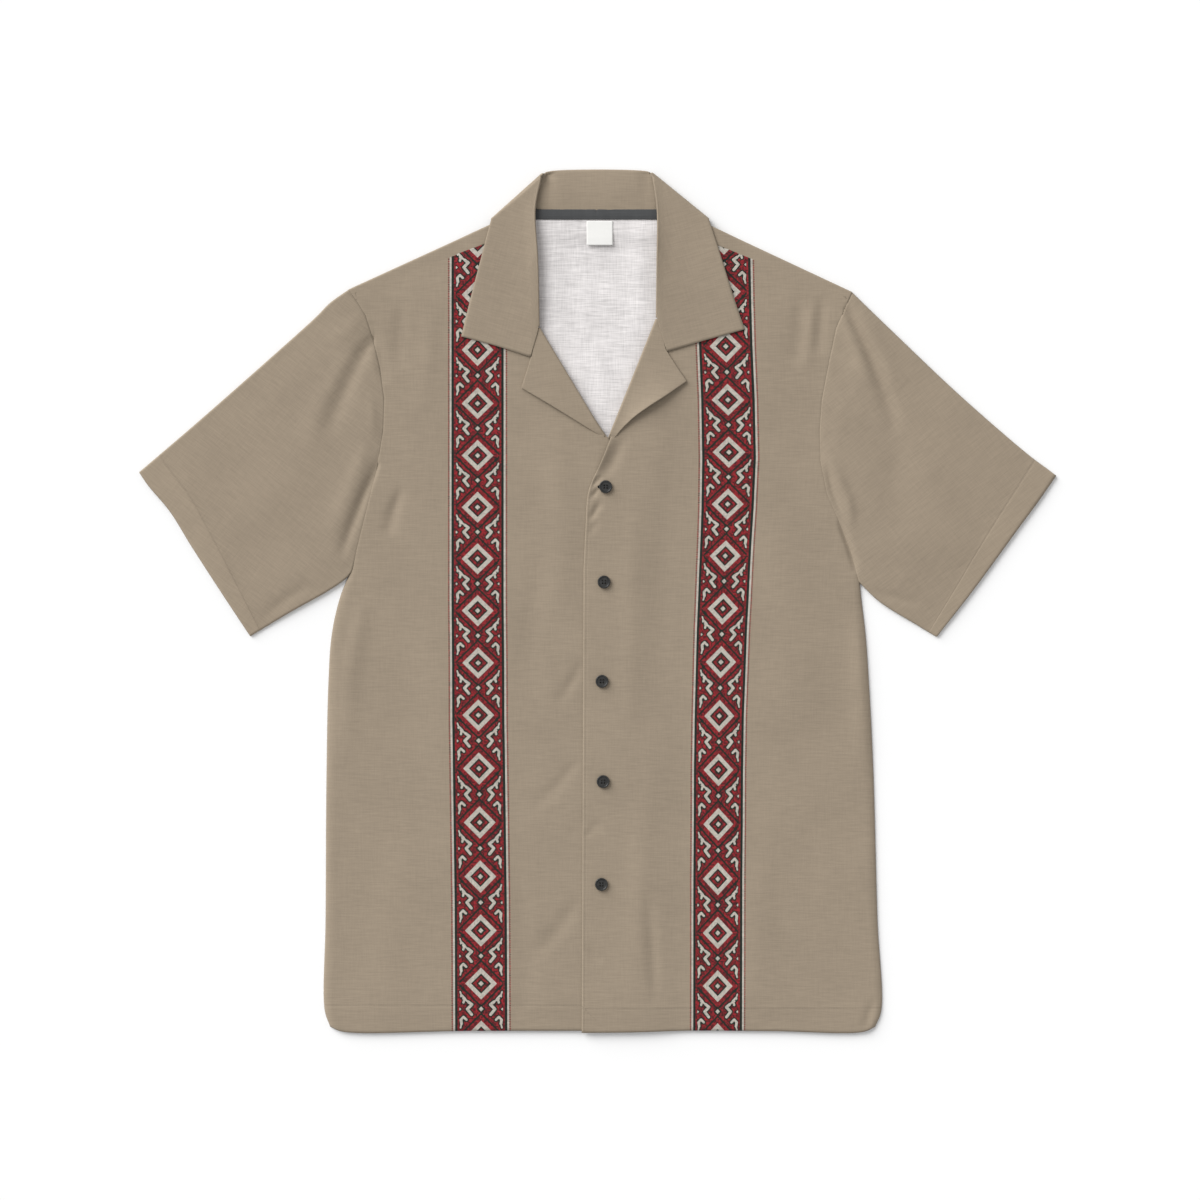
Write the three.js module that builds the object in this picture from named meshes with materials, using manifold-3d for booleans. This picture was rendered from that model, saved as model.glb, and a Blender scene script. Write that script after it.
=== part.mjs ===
import * as THREE from "three";
import Module from "manifold-3d";
import { mergeVertices } from "three/addons/utils/BufferGeometryUtils.js";

// A short-sleeved camp shirt, buttoned and laid flat on its back.
// Millimetres, +Z up. The collar is toward +Y and the wearer's left is at +X.
// z = 0 is the surface that the shirt lies on, and each layer of cloth lies on the one below.

const wasm = await Module();
wasm.setup();
const { lerp, smoothstep, degToRad, clamp } = THREE.MathUtils;

// Driving dimensions
const clothWall = 1.2; // one layer of cotton
const hemWall = 1.8; // the turned hem at the bottom and the cuffs
const facingWall = 1.6; // the lapel's two layers
const layerGap = 0.4; // between layers that lie on each other
const seamGap = 0.4; // between pieces sewn edge to edge
const hemDepth = 24.5;
const stitchStep = 1.6; // run over which a hem thins to one layer
const bodyLoft = 2.4; // from the middle of the back's cloth to the front's, at a seam
const frontLift = 1.1; // how much higher the front lies away from its seams
const neckRise = 1.6; // the back lies on the collar's fall here
const rollBend = 0.8; // radius of the collar's fold at the back

// The outline of the body, a row for each height: x of the edge on the wearer's right and left
const bodySections = [
  { y: -387, right: -243, left: 252.5 },
  { y: -372, right: -248, left: 258 },
  { y: -290, right: -247.2, left: 254.5 },
  { y: -154, right: -246.3, left: 250.7 },
  { y: -72, right: -244.5, left: 246.6 },
  { y: -30, right: -241.5, left: 243.6 },
  { y: 5, right: -233.5, left: 239.5 },
];
// The armhole seams from armpit to shoulder tip
const armholes = {
  right: [
    { x: -223.9, y: 27.5 },
    { x: -216, y: 60 },
    { x: -208, y: 92 },
    { x: -200.5, y: 122 },
    { x: -195, y: 155 },
    { x: -194, y: 184 },
    { x: -198, y: 212 },
    { x: -204, y: 238 },
    { x: -211, y: 260 },
    { x: -226, y: 283.5 },
  ],
  left: [
    { x: 238.2, y: 17.5 },
    { x: 229.5, y: 48 },
    { x: 219, y: 74 },
    { x: 208.8, y: 96.5 },
    { x: 202.8, y: 127 },
    { x: 202, y: 155 },
    { x: 204, y: 183 },
    { x: 210.5, y: 217 },
    { x: 217, y: 248 },
    { x: 231.6, y: 281 },
  ],
};
// Each sleeve's two edges and its cuff
const sleeves = {
  right: {
    under: [[-223.9, 27.5], [-229, 21], [-244.3, 10.1], [-281.3, -10.9], [-315.8, -31.8]],
    over: [
      [-226, 283.5], [-243.4, 271.2], [-256, 258.5], [-304.4, 214.8],
      [-366.3, 160.2], [-398.1, 132.9], [-416.7, 117],
    ],
    cuff: [[-315.8, -31.8], [-343.5, 10.1], [-369.9, 51], [-388.6, 81.2], [-409, 105.6], [-416.7, 117]],
  },
  left: {
    under: [[238.2, 17.5], [257.1, -0.5], [291.7, -22.2], [308.4, -32.4]],
    over: [
      [231.6, 281], [241.6, 271.2], [271.6, 242.1], [329, 187.5],
      [391.8, 132.9], [410, 119.3], [417, 113.9],
    ],
    cuff: [[308.4, -32.4], [341.7, 10.1], [381.7, 64.7], [401.8, 92], [417, 113.9]],
  },
};
// The shoulder's edge, which the back wraps over, and the seam in front of it
const shoulders = {
  right: {
    tip: [-226, 283.5],
    neck: [-62, 358.5],
    seamTip: [-219.4, 273.2],
    seamNeck: [-64, 340.5],
    inward: [0.397, -0.918],
  },
  left: {
    tip: [231.6, 281],
    neck: [66, 358.5],
    seamTip: [227, 270.6],
    seamNeck: [68, 341],
    inward: [-0.397, -0.918],
  },
};
// Hem, opening edge, roll line and neckline of each front
const hemCorner = { right: [-243, -387], left: [252.5, -387] };
const hemLine = {
  right: [[-231, -391.4], [-120, -390.6], [-40, -390.5]],
  left: [[241, -391.6], [160, -390.8], [80, -390.4], [30, -391.8]],
};
const openings = {
  right: {
    hem: [25, -390.6],
    edge: [[25, 28], [25, 90], [22, 122], [3.5, 148.2]],
    neckline: [[-55.8, 246.7], [-58, 254], [-60.6, 310], [-64, 340.5]],
  },
  left: {
    hem: [-14.3, -392.2],
    edge: [[-12.6, 28], [-10.9, 64.7], [-9.6, 103.8], [-4.1, 116.5], [13.8, 142.6]],
    neckline: [[56.5, 255.5], [59.4, 264], [64.6, 310], [68, 341]],
  },
};
// Each lapel: roll line from the V up, notch, lower edge out to the point, and how high the edge stands off
const lapels = {
  right: {
    roll: [[6.5, 150], [-51.3, 245.7]],
    notch: [-60.1, 220.6],
    outer: [[4.2, 150.6], [-14, 160.5], [-42, 177.6], [-69.2, 193.6]],
    inward: [-0.857, -0.516],
    standOff: 1.2,
  },
  left: {
    roll: [[10.5, 143.8], [51.8, 252.9]],
    notch: [62.3, 225.7],
    outer: [[12.4, 146.6], [20, 158], [31.4, 170.2], [48.7, 182], [66, 191.1], [81.2, 201.2]],
    inward: [0.935, -0.354],
    standOff: 7,
  },
};
// The collar on each side: neck seam, roll line and outer edge from the gorge up,
// and the ends of the creases at the corner
const collarSides = {
  right: {
    neck: [[-55, 251.4], [-58.4, 310], [-61.4, 341], [-59.4, 357.4]],
    roll: [[-52.8, 249.2], [-54.1, 310], [-56.4, 356], [-50.6, 386.6]],
    end: [[-60.6, 221.6], [-92, 231.6], [-123.8, 240.3]],
    edge: [[-123.8, 240.3], [-116, 272], [-104, 318], [-97.6, 341]],
    corner: [-49.9, 390.4],
    fold: [-96.4, 347.4],
    neckFold: [-60.6, 358.2],
  },
  left: {
    neck: [[55.4, 259.4], [62.4, 310], [65.6, 341], [63.4, 357.4]],
    roll: [[53.3, 257.3], [53.8, 310], [54, 356], [49.9, 386.6]],
    end: [[62.9, 226.7], [98, 236.8], [133.8, 246.7]],
    edge: [[133.8, 246.7], [124, 275], [110.5, 318], [103.4, 340.4]],
    corner: [49.5, 390.9],
    fold: [101, 347.6],
    neckFold: [64.6, 358.2],
  },
};
const collarTop = 392.5; // the collar's fold at the middle of the back
const neckSeam = 350.8; // where back and collar meet at the middle of the back
const fallEdge = 342; // the collar's outer edge under the back
// The height of the roll along each side, from the gorge to the corner
const rollHeights = [
  { at: 0, z: 5.6 },
  { at: 0.25, z: 8.2 },
  { at: 0.5, z: 9 },
  { at: 0.75, z: 7.6 },
  { at: 1, z: 5.45 },
];
const tape = { from: -54, to: 51.5, low: 346.9, high: 355.9, wall: 1 };
const label = { from: -9.7, to: 14.1, low: 323.1, high: 346.5, wall: 1 };
const button = { radius: 5.9, height: 2.4, rim: 1.1, dish: 0.6, holeRadius: 0.75, holePitch: 2.5 };
const buttonGap = 0.3; // clear of the front under it
const buttonPlaces = [
  { x: 7.4, y: 103.7 },
  { x: 5.9, y: 17.3 },
  { x: 4.1, y: -72.8 },
  { x: 5.1, y: -163.8 },
  { x: 3.6, y: -257 },
];
// The largest folds of the upper layer: a soft trough or ridge along a line
const folds = [
  { from: [-216, 222], to: [-262, 132], width: 15, height: -1.0 },
  { from: [-212, 95], to: [-238, 36], width: 13, height: 1.3 },
  { from: [-262, 150], to: [-330, 60], width: 24, height: 0.9 },
  { from: [246, 228], to: [270, 150], width: 15, height: -1.0 },
  { from: [214, 116], to: [240, 48], width: 13, height: 1.3 },
  { from: [290, 120], to: [330, 30], width: 22, height: 0.9 },
  { from: [-181, 130], to: [-181, 40], width: 20, height: -0.9 },
  { from: [-150, -40], to: [-120, -250], width: 24, height: 0.7 },
  { from: [160, 60], to: [190, -120], width: 24, height: 0.8 },
  { from: [112, -226], to: [104, -366], width: 18, height: -0.9 },
  { from: [-175, -210], to: [-196, -366], width: 20, height: 0.8 },
];

const colours = {
  cloth: new THREE.MeshStandardMaterial({ color: 0xa09080, roughness: 0.9, metalness: 0 }),
  tape: new THREE.MeshStandardMaterial({ color: 0x525252, roughness: 0.85, metalness: 0 }),
  label: new THREE.MeshStandardMaterial({ color: 0xe9e7e2, roughness: 0.7, metalness: 0 }),
  button: new THREE.MeshStandardMaterial({ color: 0x38383a, roughness: 0.35, metalness: 0 }),
};

const shirt = new THREE.Group();

// Curves in plan, each a function of 0 to 1
const between = (a, b, t) => [lerp(a[0], b[0], t), lerp(a[1], b[1], t)];
const offset = (p, direction, distance) => [p[0] + direction[0] * distance, p[1] + direction[1] * distance];
const pointsOf = (rows) => rows.map(({ x, y }) => [x, y]);

function straight(points) {
  const stretches = points.length - 1;
  return (t) => {
    const k = Math.min(Math.floor(t * stretches + 1e-9), stretches - 1);
    return between(points[k], points[k + 1], t * stretches - k);
  };
}

function curved(points) {
  const through = points.map(([x, y]) => new THREE.Vector3(x, y, 0));
  const curve = new THREE.CatmullRomCurve3(through, false, "centripetal");
  return (t) => {
    const { x, y } = curve.getPointAt(clamp(t, 0, 1));
    return [x, y];
  };
}

function chained(curves) {
  return (t) => {
    const k = Math.min(Math.floor(t * curves.length + 1e-9), curves.length - 1);
    return curves[k](t * curves.length - k);
  };
}

// A surface in plan between four edges
function patch({ south, north, west, east }) {
  return (u, v) => {
    const sides = between(west(v), east(v), u);
    const ends = between(south(u), north(u), v);
    const corners = between(between(south(0), south(1), u), between(north(0), north(1), u), v);
    return [0, 1].map((k) => sides[k] + ends[k] - corners[k]);
  };
}

const steps = (count, from = 0, to = 1) =>
  Array.from({ length: count + 1 }, (_, i) => lerp(from, to, i / count));

// A closed wall on a grid of middle points, with a rim at each open edge. A null point is outside the piece.
function wallOn(rows, { ring = false } = {}) {
  const height = rows.length;
  const width = rows[0].length;
  const columns = ring ? width : width - 1;
  const at = (i, j) => (j < 0 || j >= height ? null : rows[j][ring ? (i + width) % width : i] ?? null);
  const run = (behind, ahead, here) => (ahead ?? here).p.clone().sub((behind ?? here).p);
  const positions = [];
  const number = new Map();
  rows.forEach((row, j) =>
    row.forEach((here, i) => {
      if (!here) return;
      const across = run(at(i - 1, j), at(i + 1, j), here);
      const normal = across.cross(run(at(i, j - 1), at(i, j + 1), here)).normalize();
      number.set(here, positions.length / 3);
      for (const half of [-here.wall / 2, here.wall / 2])
        positions.push(...here.p.clone().addScaledVector(normal, half).toArray());
    }),
  );
  const faces = [];
  const quad = (a, b, c, d) => faces.push(a, b, c, a, c, d);
  const cell = (i, j) => {
    if (!ring && (i < 0 || i >= columns)) return null;
    const corners = [at(i, j), at(i + 1, j), at(i + 1, j + 1), at(i, j + 1)];
    return corners.every(Boolean) ? corners.map((corner) => number.get(corner)) : null;
  };
  for (let j = 0; j < height - 1; j++)
    for (let i = 0; i < columns; i++) {
      const here = cell(i, j);
      if (!here) continue;
      const [a, b, c, d] = here;
      quad(a + 1, b + 1, c + 1, d + 1);
      quad(d, c, b, a);
      if (!cell(i, j - 1)) quad(a, b, b + 1, a + 1);
      if (!cell(i + 1, j)) quad(b, c, c + 1, b + 1);
      if (!cell(i, j + 1)) quad(c, d, d + 1, c + 1);
      if (!cell(i - 1, j)) quad(d, a, a + 1, d + 1);
    }
  const geometry = new THREE.BufferGeometry();
  geometry.setAttribute("position", new THREE.Float32BufferAttribute(positions, 3));
  geometry.setIndex(faces);
  if (volumeOf(positions, faces) < 0) geometry.setIndex(faces.reverse());
  geometry.computeVertexNormals();
  return geometry;
}

function volumeOf(positions, faces) {
  const corner = (n) => new THREE.Vector3().fromArray(positions, faces[n] * 3);
  let volume = 0;
  for (let n = 0; n < faces.length; n += 3) volume += corner(n).dot(corner(n + 1).cross(corner(n + 2))) / 6;
  return volume;
}

function add(name, geometry, material) {
  const mesh = new THREE.Mesh(geometry, material);
  mesh.name = name;
  shirt.add(mesh);
  return mesh;
}

// Height of the fronts' cloth away from the seams
const frontLevel = clothWall / 2 + bodyLoft + frontLift;

const point = ([x, y], z, wall = clothWall) => ({ p: new THREE.Vector3(x, y, z), wall });

// Height that the folds add at a place of the upper layer
function foldHeight([x, y]) {
  return folds.reduce((sum, { from, to, width, height }) => {
    const run = [to[0] - from[0], to[1] - from[1]];
    const length = Math.hypot(...run);
    const along = ((x - from[0]) * run[0] + (y - from[1]) * run[1]) / length ** 2;
    const across = ((x - from[0]) * run[1] - (y - from[1]) * run[0]) / length;
    const fade = smoothstep(along, -0.15, 0.25) * (1 - smoothstep(along, 0.75, 1.15));
    return sum + height * fade * Math.exp(-((across / width) ** 2));
  }, 0);
}

// How much of a hem's wall there is at a distance from the edge
const hemShare = (distance) => 1 - smoothstep(distance, hemDepth, hemDepth + stitchStep);
const wallAt = (distance) => lerp(clothWall, hemWall, hemShare(distance));

// How far the wearer's left front is lifted by the right one under it
const overlapShare = ([x, y]) => (1 - smoothstep(x, 44, 84)) * (1 - smoothstep(y, 140, 200));
const neckShare = ([x]) => 1 - smoothstep(Math.abs(x), 106, 132);

// Rows of the body: the side seam is the first half of v, the armhole the second
const sideRows = 12;
const armholeRows = armholes.right.length - 1;
const bodyLength = 420;
const hemRows = [0, hemDepth, hemDepth + stitchStep].map((distance) => distance / bodyLength / 2);
const lowRows = [...hemRows, ...steps(sideRows, 0, 0.5).slice(1)];
const highRows = steps(armholeRows, 0.5, 1).slice(1);
const underRiseRow = highRows.at(-2);
const riseRow = lerp(underRiseRow, 1, 0.5);

function bodyEdge(side) {
  const armhole = pointsOf(armholes[side]);
  const seam = [...bodySections.map((row) => [row[side], row.y]), armhole[0]];
  return chained([curved(seam), straight(armhole)]);
}

// The back: flat on the surface, and lying on the collar's fall at the neck. Its cloth goes on over
// the shoulders in solids of their own, so that the neck opening between them stays open.
function makeBack() {
  const columns = [...steps(5, 0, 0.36), ...steps(5, 0.36, 0.64).slice(1), ...steps(5, 0.64, 1).slice(1)];
  const bend = bodyLoft / 2;
  const inset = bend + clothWall / 2;
  const ends = Object.fromEntries(
    ["right", "left"].map((side) => {
      const { tip, neck, inward } = shoulders[side];
      return [side, { tip: offset(tip, inward, inset), neck: offset(neck, inward, inset) }];
    }),
  );
  const neckEdge = curved([ends.right.neck, [-48, 352.4], [0, neckSeam], [52, 352.4], ends.left.neck]);
  const top = (u) => {
    if (u < 0.36) return between(ends.right.tip, ends.right.neck, u / 0.36);
    if (u > 0.64) return between(ends.left.neck, ends.left.tip, (u - 0.64) / 0.36);
    return neckEdge((u - 0.36) / 0.28);
  };
  const sides = { right: bodyEdge("right"), left: bodyEdge("left") };
  const trimmed = (side) => (v) => (v < 1 ? sides[side](v) : ends[side].tip);
  const leftHem = [...hemLine.left.slice(0, 3).reverse(), hemCorner.left];
  const hem = [hemCorner.right, ...hemLine.right, [0, -391], ...leftHem];
  const plan = patch({
    south: curved(hem),
    north: top,
    west: trimmed("right"),
    east: trimmed("left"),
  });
  const rise = (u, v, at) => neckRise * neckShare(at) * smoothstep(v, underRiseRow, riseRow);
  const rows = [...lowRows, ...highRows.slice(0, -1), riseRow, 1].map((v) =>
    columns.map((u) => {
      const at = plan(u, v);
      const wall = wallAt(v * 2 * bodyLength);
      return point(at, wall / 2 + rise(u, v, at), wall);
    }),
  );
  add("back", wallOn(rows), colours.cloth);
}

// The back's cloth over a shoulder: the bend, and the strip that ends at the forward seam
function makeShoulder(side) {
  const { tip, neck, seamTip, seamNeck, inward } = shoulders[side];
  const bend = bodyLoft / 2;
  const bends = [-48, -5, 40, 90].map(degToRad);
  const row = (make) =>
    steps(5).map((t) => {
      const edge = between(tip, neck, t);
      return make(edge, clothWall / 2 + neckRise * neckShare(edge), t);
    });
  const rows = bends.map((angle) =>
    row((edge, low) =>
      point(
        offset(edge, inward, bend + clothWall / 2 - bend * Math.cos(angle)),
        low + bend + bend * Math.sin(angle),
      ),
    ),
  );
  const seam = (t) => offset(between(seamTip, seamNeck, t), inward, -seamGap);
  rows.push(row((edge, low, t) => point(seam(t), low + bodyLoft)));
  add("shoulder_" + side, wallOn(rows), colours.cloth);
}

// A front: hem, side seam, armhole, shoulder seam, neckline, roll line and opening edge
const frontColumns = 11;
function frontPlan(side) {
  const { hem, edge, neckline } = openings[side];
  const { seamTip, seamNeck } = shoulders[side];
  const outer = bodyEdge(side);
  const aboveArmpit = chained([curved(edge), straight([edge.at(-1), neckline[0]]), curved(neckline)]);
  return patch({
    south: curved([hemCorner[side], ...hemLine[side], hem]),
    north: straight([seamTip, seamNeck]),
    west: (v) => (v < 1 ? outer(v) : seamTip),
    east: (v) => (v < 0.5 ? between(hem, edge[0], v * 2) : aboveArmpit(v * 2 - 1)),
  });
}

function frontHeight(side, u, v, at, wall) {
  const inside = smoothstep(u, 0, 0.2) * smoothstep(v, 0, 0.04);
  const belowArmpit = (1 - smoothstep(v, 0.42, 0.5)) * (1 - hemShare(v * 2 * bodyLength));
  const seamDrop = 0.7 * (1 - smoothstep(u, 0, 0.12)) * belowArmpit;
  const nearShoulder = smoothstep(v, 0.92, 1);
  const lift = lerp(frontLift * inside, neckRise * neckShare(at), nearShoulder) - seamDrop;
  const quiet = inside * (1 - smoothstep(u, 0.62, 0.8)) * (1 - smoothstep(v, 0.85, 0.95));
  const over = side === "left" ? overlapShare(at) * (wall + layerGap) : 0;
  return clothWall / 2 + bodyLoft + lift + over + foldHeight(at) * quiet;
}

function makeFront(side) {
  const plan = frontPlan(side);
  const rows = [...lowRows, ...highRows].map((v) =>
    steps(frontColumns).map((u) => {
      const at = plan(u, v);
      const wall = wallAt(v * 2 * bodyLength);
      return point(at, frontHeight(side, u, v, at, wall), wall);
    }),
  );
  add("front_" + side, wallOn(rows), colours.cloth);
}

// A sleeve: a flattened tube, its under layer flat on the surface
function makeSleeve(side) {
  const away = side === "right" ? -1 : 1;
  const { under, over, cuff } = sleeves[side];
  // The bends at the armpit and the shoulder tip swing out, so they stand clear of the body
  const gapAtEnds = 3 * seamGap;
  const gapAt = (k) => (k === 0 || k === armholeRows ? gapAtEnds : seamGap);
  const armhole = straight(armholes[side].map(({ x, y }, k) => [x + away * gapAt(k), y]));
  const shifted = (points) => [offset(points[0], [away, 0], gapAtEnds), ...points.slice(1)];
  const surface = patch({
    south: curved(shifted(under)),
    north: curved(shifted(over)),
    west: armhole,
    east: curved(cuff),
  });
  const plan = (across, along) => surface(along, across);
  const sleeveLength = 255;
  const fromCuff = (distance) => 1 - distance / sleeveLength;
  const stations = [...steps(9, 0, fromCuff(hemDepth + stitchStep)), fromCuff(hemDepth), 1];
  const bendAngles = [-60, 0, 60].map(degToRad);
  const rows = stations.map((v) => {
    const wall = wallAt((1 - v) * sleeveLength);
    const low = wall / 2;
    const bend = bodyLoft / 2;
    const edgeToEdge = Math.hypot(...[0, 1].map((k) => plan(1, v)[k] - plan(0, v)[k]));
    const inside = (w) => smoothstep(w, 0, 0.16) * (1 - smoothstep(w, 0.84, 1)) * smoothstep(v, 0, 0.12);
    const upper = (w) => low + bodyLoft + (frontLift + foldHeight(plan(w, v))) * inside(w);
    const share = (angle) => (bend + wall / 2 - bend * Math.cos(angle)) / edgeToEdge;
    const onBend = (w, angle) => point(plan(w, v), low + bend + bend * Math.sin(angle), wall);
    const tucked = share(Math.PI / 2);
    const across = [tucked, ...steps(armholeRows).slice(1, -1), 1 - tucked];
    return [
      ...across.map((w) => point(plan(w, v), upper(w), wall)),
      ...bendAngles.map((angle) => onBend(1 - share(angle), -angle)),
      ...across.map((w) => point(plan(w, v), low, wall)).reverse(),
      ...bendAngles.map((angle) => onBend(share(angle), angle)),
    ];
  });
  add("sleeve_" + side, wallOn(rows, { ring: true }), colours.cloth);
}

// A lapel: a strip under the front, the bend round its edge along the roll line, and the leaf on top
function makeLapel(side) {
  const { roll, notch, outer, inward, standOff } = lapels[side];
  const apart = clothWall / 2 + seamGap + facingWall / 2;
  const overlap = side === "left" ? clothWall + layerGap : 0;
  const front = (at) => frontLevel + overlapShare(at) * overlap;
  const bendInset = apart + facingWall / 2;
  const rollAt = straight(roll);
  const start = offset(outer[0], inward, bendInset + 1);
  const lowerEdge = curved([start, ...outer.slice(1)]);
  const plan = patch({
    south: straight([offset(roll[0], inward, bendInset), start]),
    north: straight([offset(roll[1], inward, bendInset), notch]),
    west: straight(roll.map((end) => offset(end, inward, bendInset))),
    east: (t) => (t < 0.75 ? lowerEdge(t / 0.75) : between(outer.at(-1), notch, (t - 0.75) * 4)),
  });
  const underStrip = [15, 8];
  const bendAngles = [-90, -45, 0, 45].map(degToRad);
  const rows = steps(12).map((v) => {
    const edge = rollAt(v);
    const level = front(edge);
    const lifted = (u) => standOff * u * u * Math.sin(Math.PI * Math.min(1, v * 1.15)) ** 2;
    return [
      ...underStrip.map((depth) => point(offset(edge, inward, depth), level - apart, facingWall)),
      ...bendAngles.map((angle) =>
        point(
          offset(edge, inward, bendInset - apart * Math.cos(angle)),
          level + apart * Math.sin(angle),
          facingWall,
        ),
      ),
      ...steps(6).map((u) => {
        const at = plan(u, v);
        return point(at, front(at) + apart + lifted(u), facingWall);
      }),
    ];
  });
  add("lapel_" + side, wallOn(rows), colours.cloth);
}

// The collar: one strip round the neck, folded along its roll. It turns over at both sides of the neck,
// so its fall lies on the fronts there and under the back between them.
function makeCollar() {
  const standLow = clothWall / 2 + neckRise;
  const fallLow = clothWall / 2;
  const standTurn = bodyLoft / 2;
  const fallHigh = standLow + bodyLoft + clothWall + layerGap + 0.1;
  const fallTurn = (fallHigh - fallLow) / 2;
  const rollHeight = (t) => {
    const k = Math.max(1, rollHeights.findIndex(({ at }) => at >= t - 1e-9));
    const [a, b] = [rollHeights[k - 1], rollHeights[k]];
    return lerp(a.z, b.z, (t - a.at) / (b.at - a.at));
  };
  const notchShare = 0.3;
  const standShares = [0, 0.4, 0.8];
  const fallShares = [0.06, 0.2, 0.4, 0.6, 0.8, 1];

  // One section of the strip: neck seam to roll, the fold, and roll to outer edge
  const section = (stand, fold, fall) => [...standShares.map(stand), fold, ...fallShares.map(fall)];

  // Stations on the fronts, from the gorge to the corner
  const onFront = (side) => {
    const { neck, roll, end, edge, fold } = collarSides[side];
    const away = side === "right" ? -1 : 1;
    const [rollAt, neckAt, endAt] = [curved(roll), curved(neck), curved(end)];
    const foldEnd = offset(fold, [-away * 0.7, -0.7], fallTurn);
    const gorge = (s) => between(roll[0], end[0], s / notchShare);
    const leaf = patch({
      south: (s) => (s < notchShare ? gorge(s) : endAt((s - notchShare) / (1 - notchShare))),
      north: (s) => between(rollAt(1), foldEnd, s),
      west: rollAt,
      east: curved([...edge.slice(0, -1), foldEnd]),
    });
    return steps(8).map((t) => {
      const top = rollHeight(t);
      const rest = lerp(frontLevel + clothWall + layerGap, fallHigh, smoothstep(t, 0.1, 0.6));
      const seamHeight = lerp(frontLevel, standLow + bodyLoft, smoothstep(t, 0.1, 0.9));
      const under = offset(leaf(0, t), [away, 0], rollBend);
      return section(
        (s) => point(between(neckAt(t), under, s), lerp(seamHeight, top - rollBend, s)),
        point(leaf(0, t), top),
        (s) => point(leaf(s, t), lerp(rest, top + rollBend, Math.max(0, 1 - s / 0.65) ** 2)),
      );
    });
  };

  // Stations round the corner: the strip turns from on top to beneath
  const corner = (side) => {
    const { corner: apex, fold, neckFold } = collarSides[side];
    const away = side === "right" ? -1 : 1;
    const inFall = [-away * 0.7, -0.7];
    const inStand = [-away * 0.95, -0.3];
    const standTop = offset(apex, [-away, -2.2], 1);
    const fallTop = offset(apex, [away, -2.2], 1);
    return [60, 30, 0, -30, -60, -90].map(degToRad).map((angle) => {
      const back = 1 - Math.cos(angle);
      const level = (turn, low) => low + turn + turn * Math.sin(angle);
      const onStand = (s) => offset(between(neckFold, standTop, s), inStand, standTurn * back);
      const onFall = (s) => offset(between(fallTop, fold, s), inFall, fallTurn * back);
      return section(
        (s) => point(onStand(s), level(standTurn, standLow)),
        point(
          offset(apex, [0, -1], clothWall / 2 + 1.4 * back),
          level((standTurn + fallTurn) / 2, (standLow + fallLow) / 2),
        ),
        (s) => point(onFall(s), level(fallTurn, fallLow)),
      );
    });
  };

  // Stations across the back: the stand on top, the fall beneath
  const acrossBack = () => {
    const { right, left } = collarSides;
    const bridge = (name, step, middle) =>
      curved([offset(right[name], step, 1), ...middle, offset(left[name], [-step[0], step[1]], 1)]);
    const topAt = bridge("corner", [1.2, -2], [[-1.4, collarTop - clothWall / 2]]);
    const neckAt = bridge("neckFold", [1.3, -0.5], [[-48, 354.4], [0, neckSeam + 2 * seamGap], [52, 354.4]]);
    const edgeAt = bridge("fold", [2.1, -2.1], [[-72, fallEdge], [0, fallEdge], [76, fallEdge]]);
    return steps(10).slice(1, -1).map((t) => {
      const top = topAt(t);
      const below = offset(top, [0, -1], rollBend);
      return section(
        (s) => point(between(neckAt(t), below, s), standLow),
        point(top, (standLow + fallLow) / 2),
        (s) => point(between(below, edgeAt(t), s), fallLow),
      );
    });
  };

  const rows = [
    ...onFront("right"),
    ...corner("right"),
    ...acrossBack(),
    ...corner("left").reverse(),
    ...onFront("left").reverse(),
  ];
  add("collar", wallOn(rows), colours.cloth);
}

// A flat strip that lies on the back: its points are the back's, moved out
function makeOnBack(name, { from, to, low, high, wall }, columns, rowHeights, material) {
  const down = new THREE.Vector3(0, 0, -1);
  const back = shirt.getObjectByName("back");
  const ray = new THREE.Raycaster();
  const heightOf = ([x, y]) => {
    ray.set(new THREE.Vector3(x, Math.min(y, neckSeam - 1), 50), down);
    return ray.intersectObject(back)[0].point.z;
  };
  const rows = rowHeights.map((v) =>
    steps(columns).map((u) => {
      const at = [lerp(from, to, u), lerp(low, high, v)];
      return point(at, heightOf(at) + seamGap + wall / 2, wall);
    }),
  );
  add(name, wallOn(rows), material);
}

function solidOf(geometry) {
  const bare = geometry.index ? geometry.toNonIndexed() : geometry.clone();
  bare.deleteAttribute("normal");
  bare.deleteAttribute("uv");
  const merged = mergeVertices(bare, 1e-4);
  return new wasm.Manifold(
    new wasm.Mesh({
      numProp: 3,
      vertProperties: merged.attributes.position.array,
      triVerts: new Uint32Array(merged.index.array),
    }),
  );
}

// A four-hole button with a raised rim, turned about +Z with its base at z = 0
function buttonGeometry() {
  const { radius, height, rim, dish, holeRadius, holePitch } = button;
  const profile = [
    [0, 0],
    [radius - 0.7, 0],
    [radius, 0.8],
    [radius, height - 0.5],
    [radius - 0.5, height],
    [radius - rim, height],
    [radius - rim - 0.6, height - dish],
    [0, height - dish],
  ].map(([x, y]) => new THREE.Vector2(x, y));
  const turned = new THREE.LatheGeometry(profile, 20).rotateX(Math.PI / 2);
  const hole = new THREE.CylinderGeometry(holeRadius, holeRadius, height * 2, 8).rotateX(Math.PI / 2);
  const apart = holePitch / 2;
  const holes = [-apart, apart].flatMap((x) =>
    [-apart, apart].map((y) => hole.clone().translate(x, y, height / 2)),
  );
  const made = holes.reduce((body, drill) => body.subtract(solidOf(drill)), solidOf(turned)).getMesh();
  const geometry = new THREE.BufferGeometry();
  geometry.setAttribute("position", new THREE.BufferAttribute(made.vertProperties, 3));
  geometry.setIndex(new THREE.BufferAttribute(made.triVerts, 1));
  geometry.computeVertexNormals();
  return geometry;
}

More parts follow.
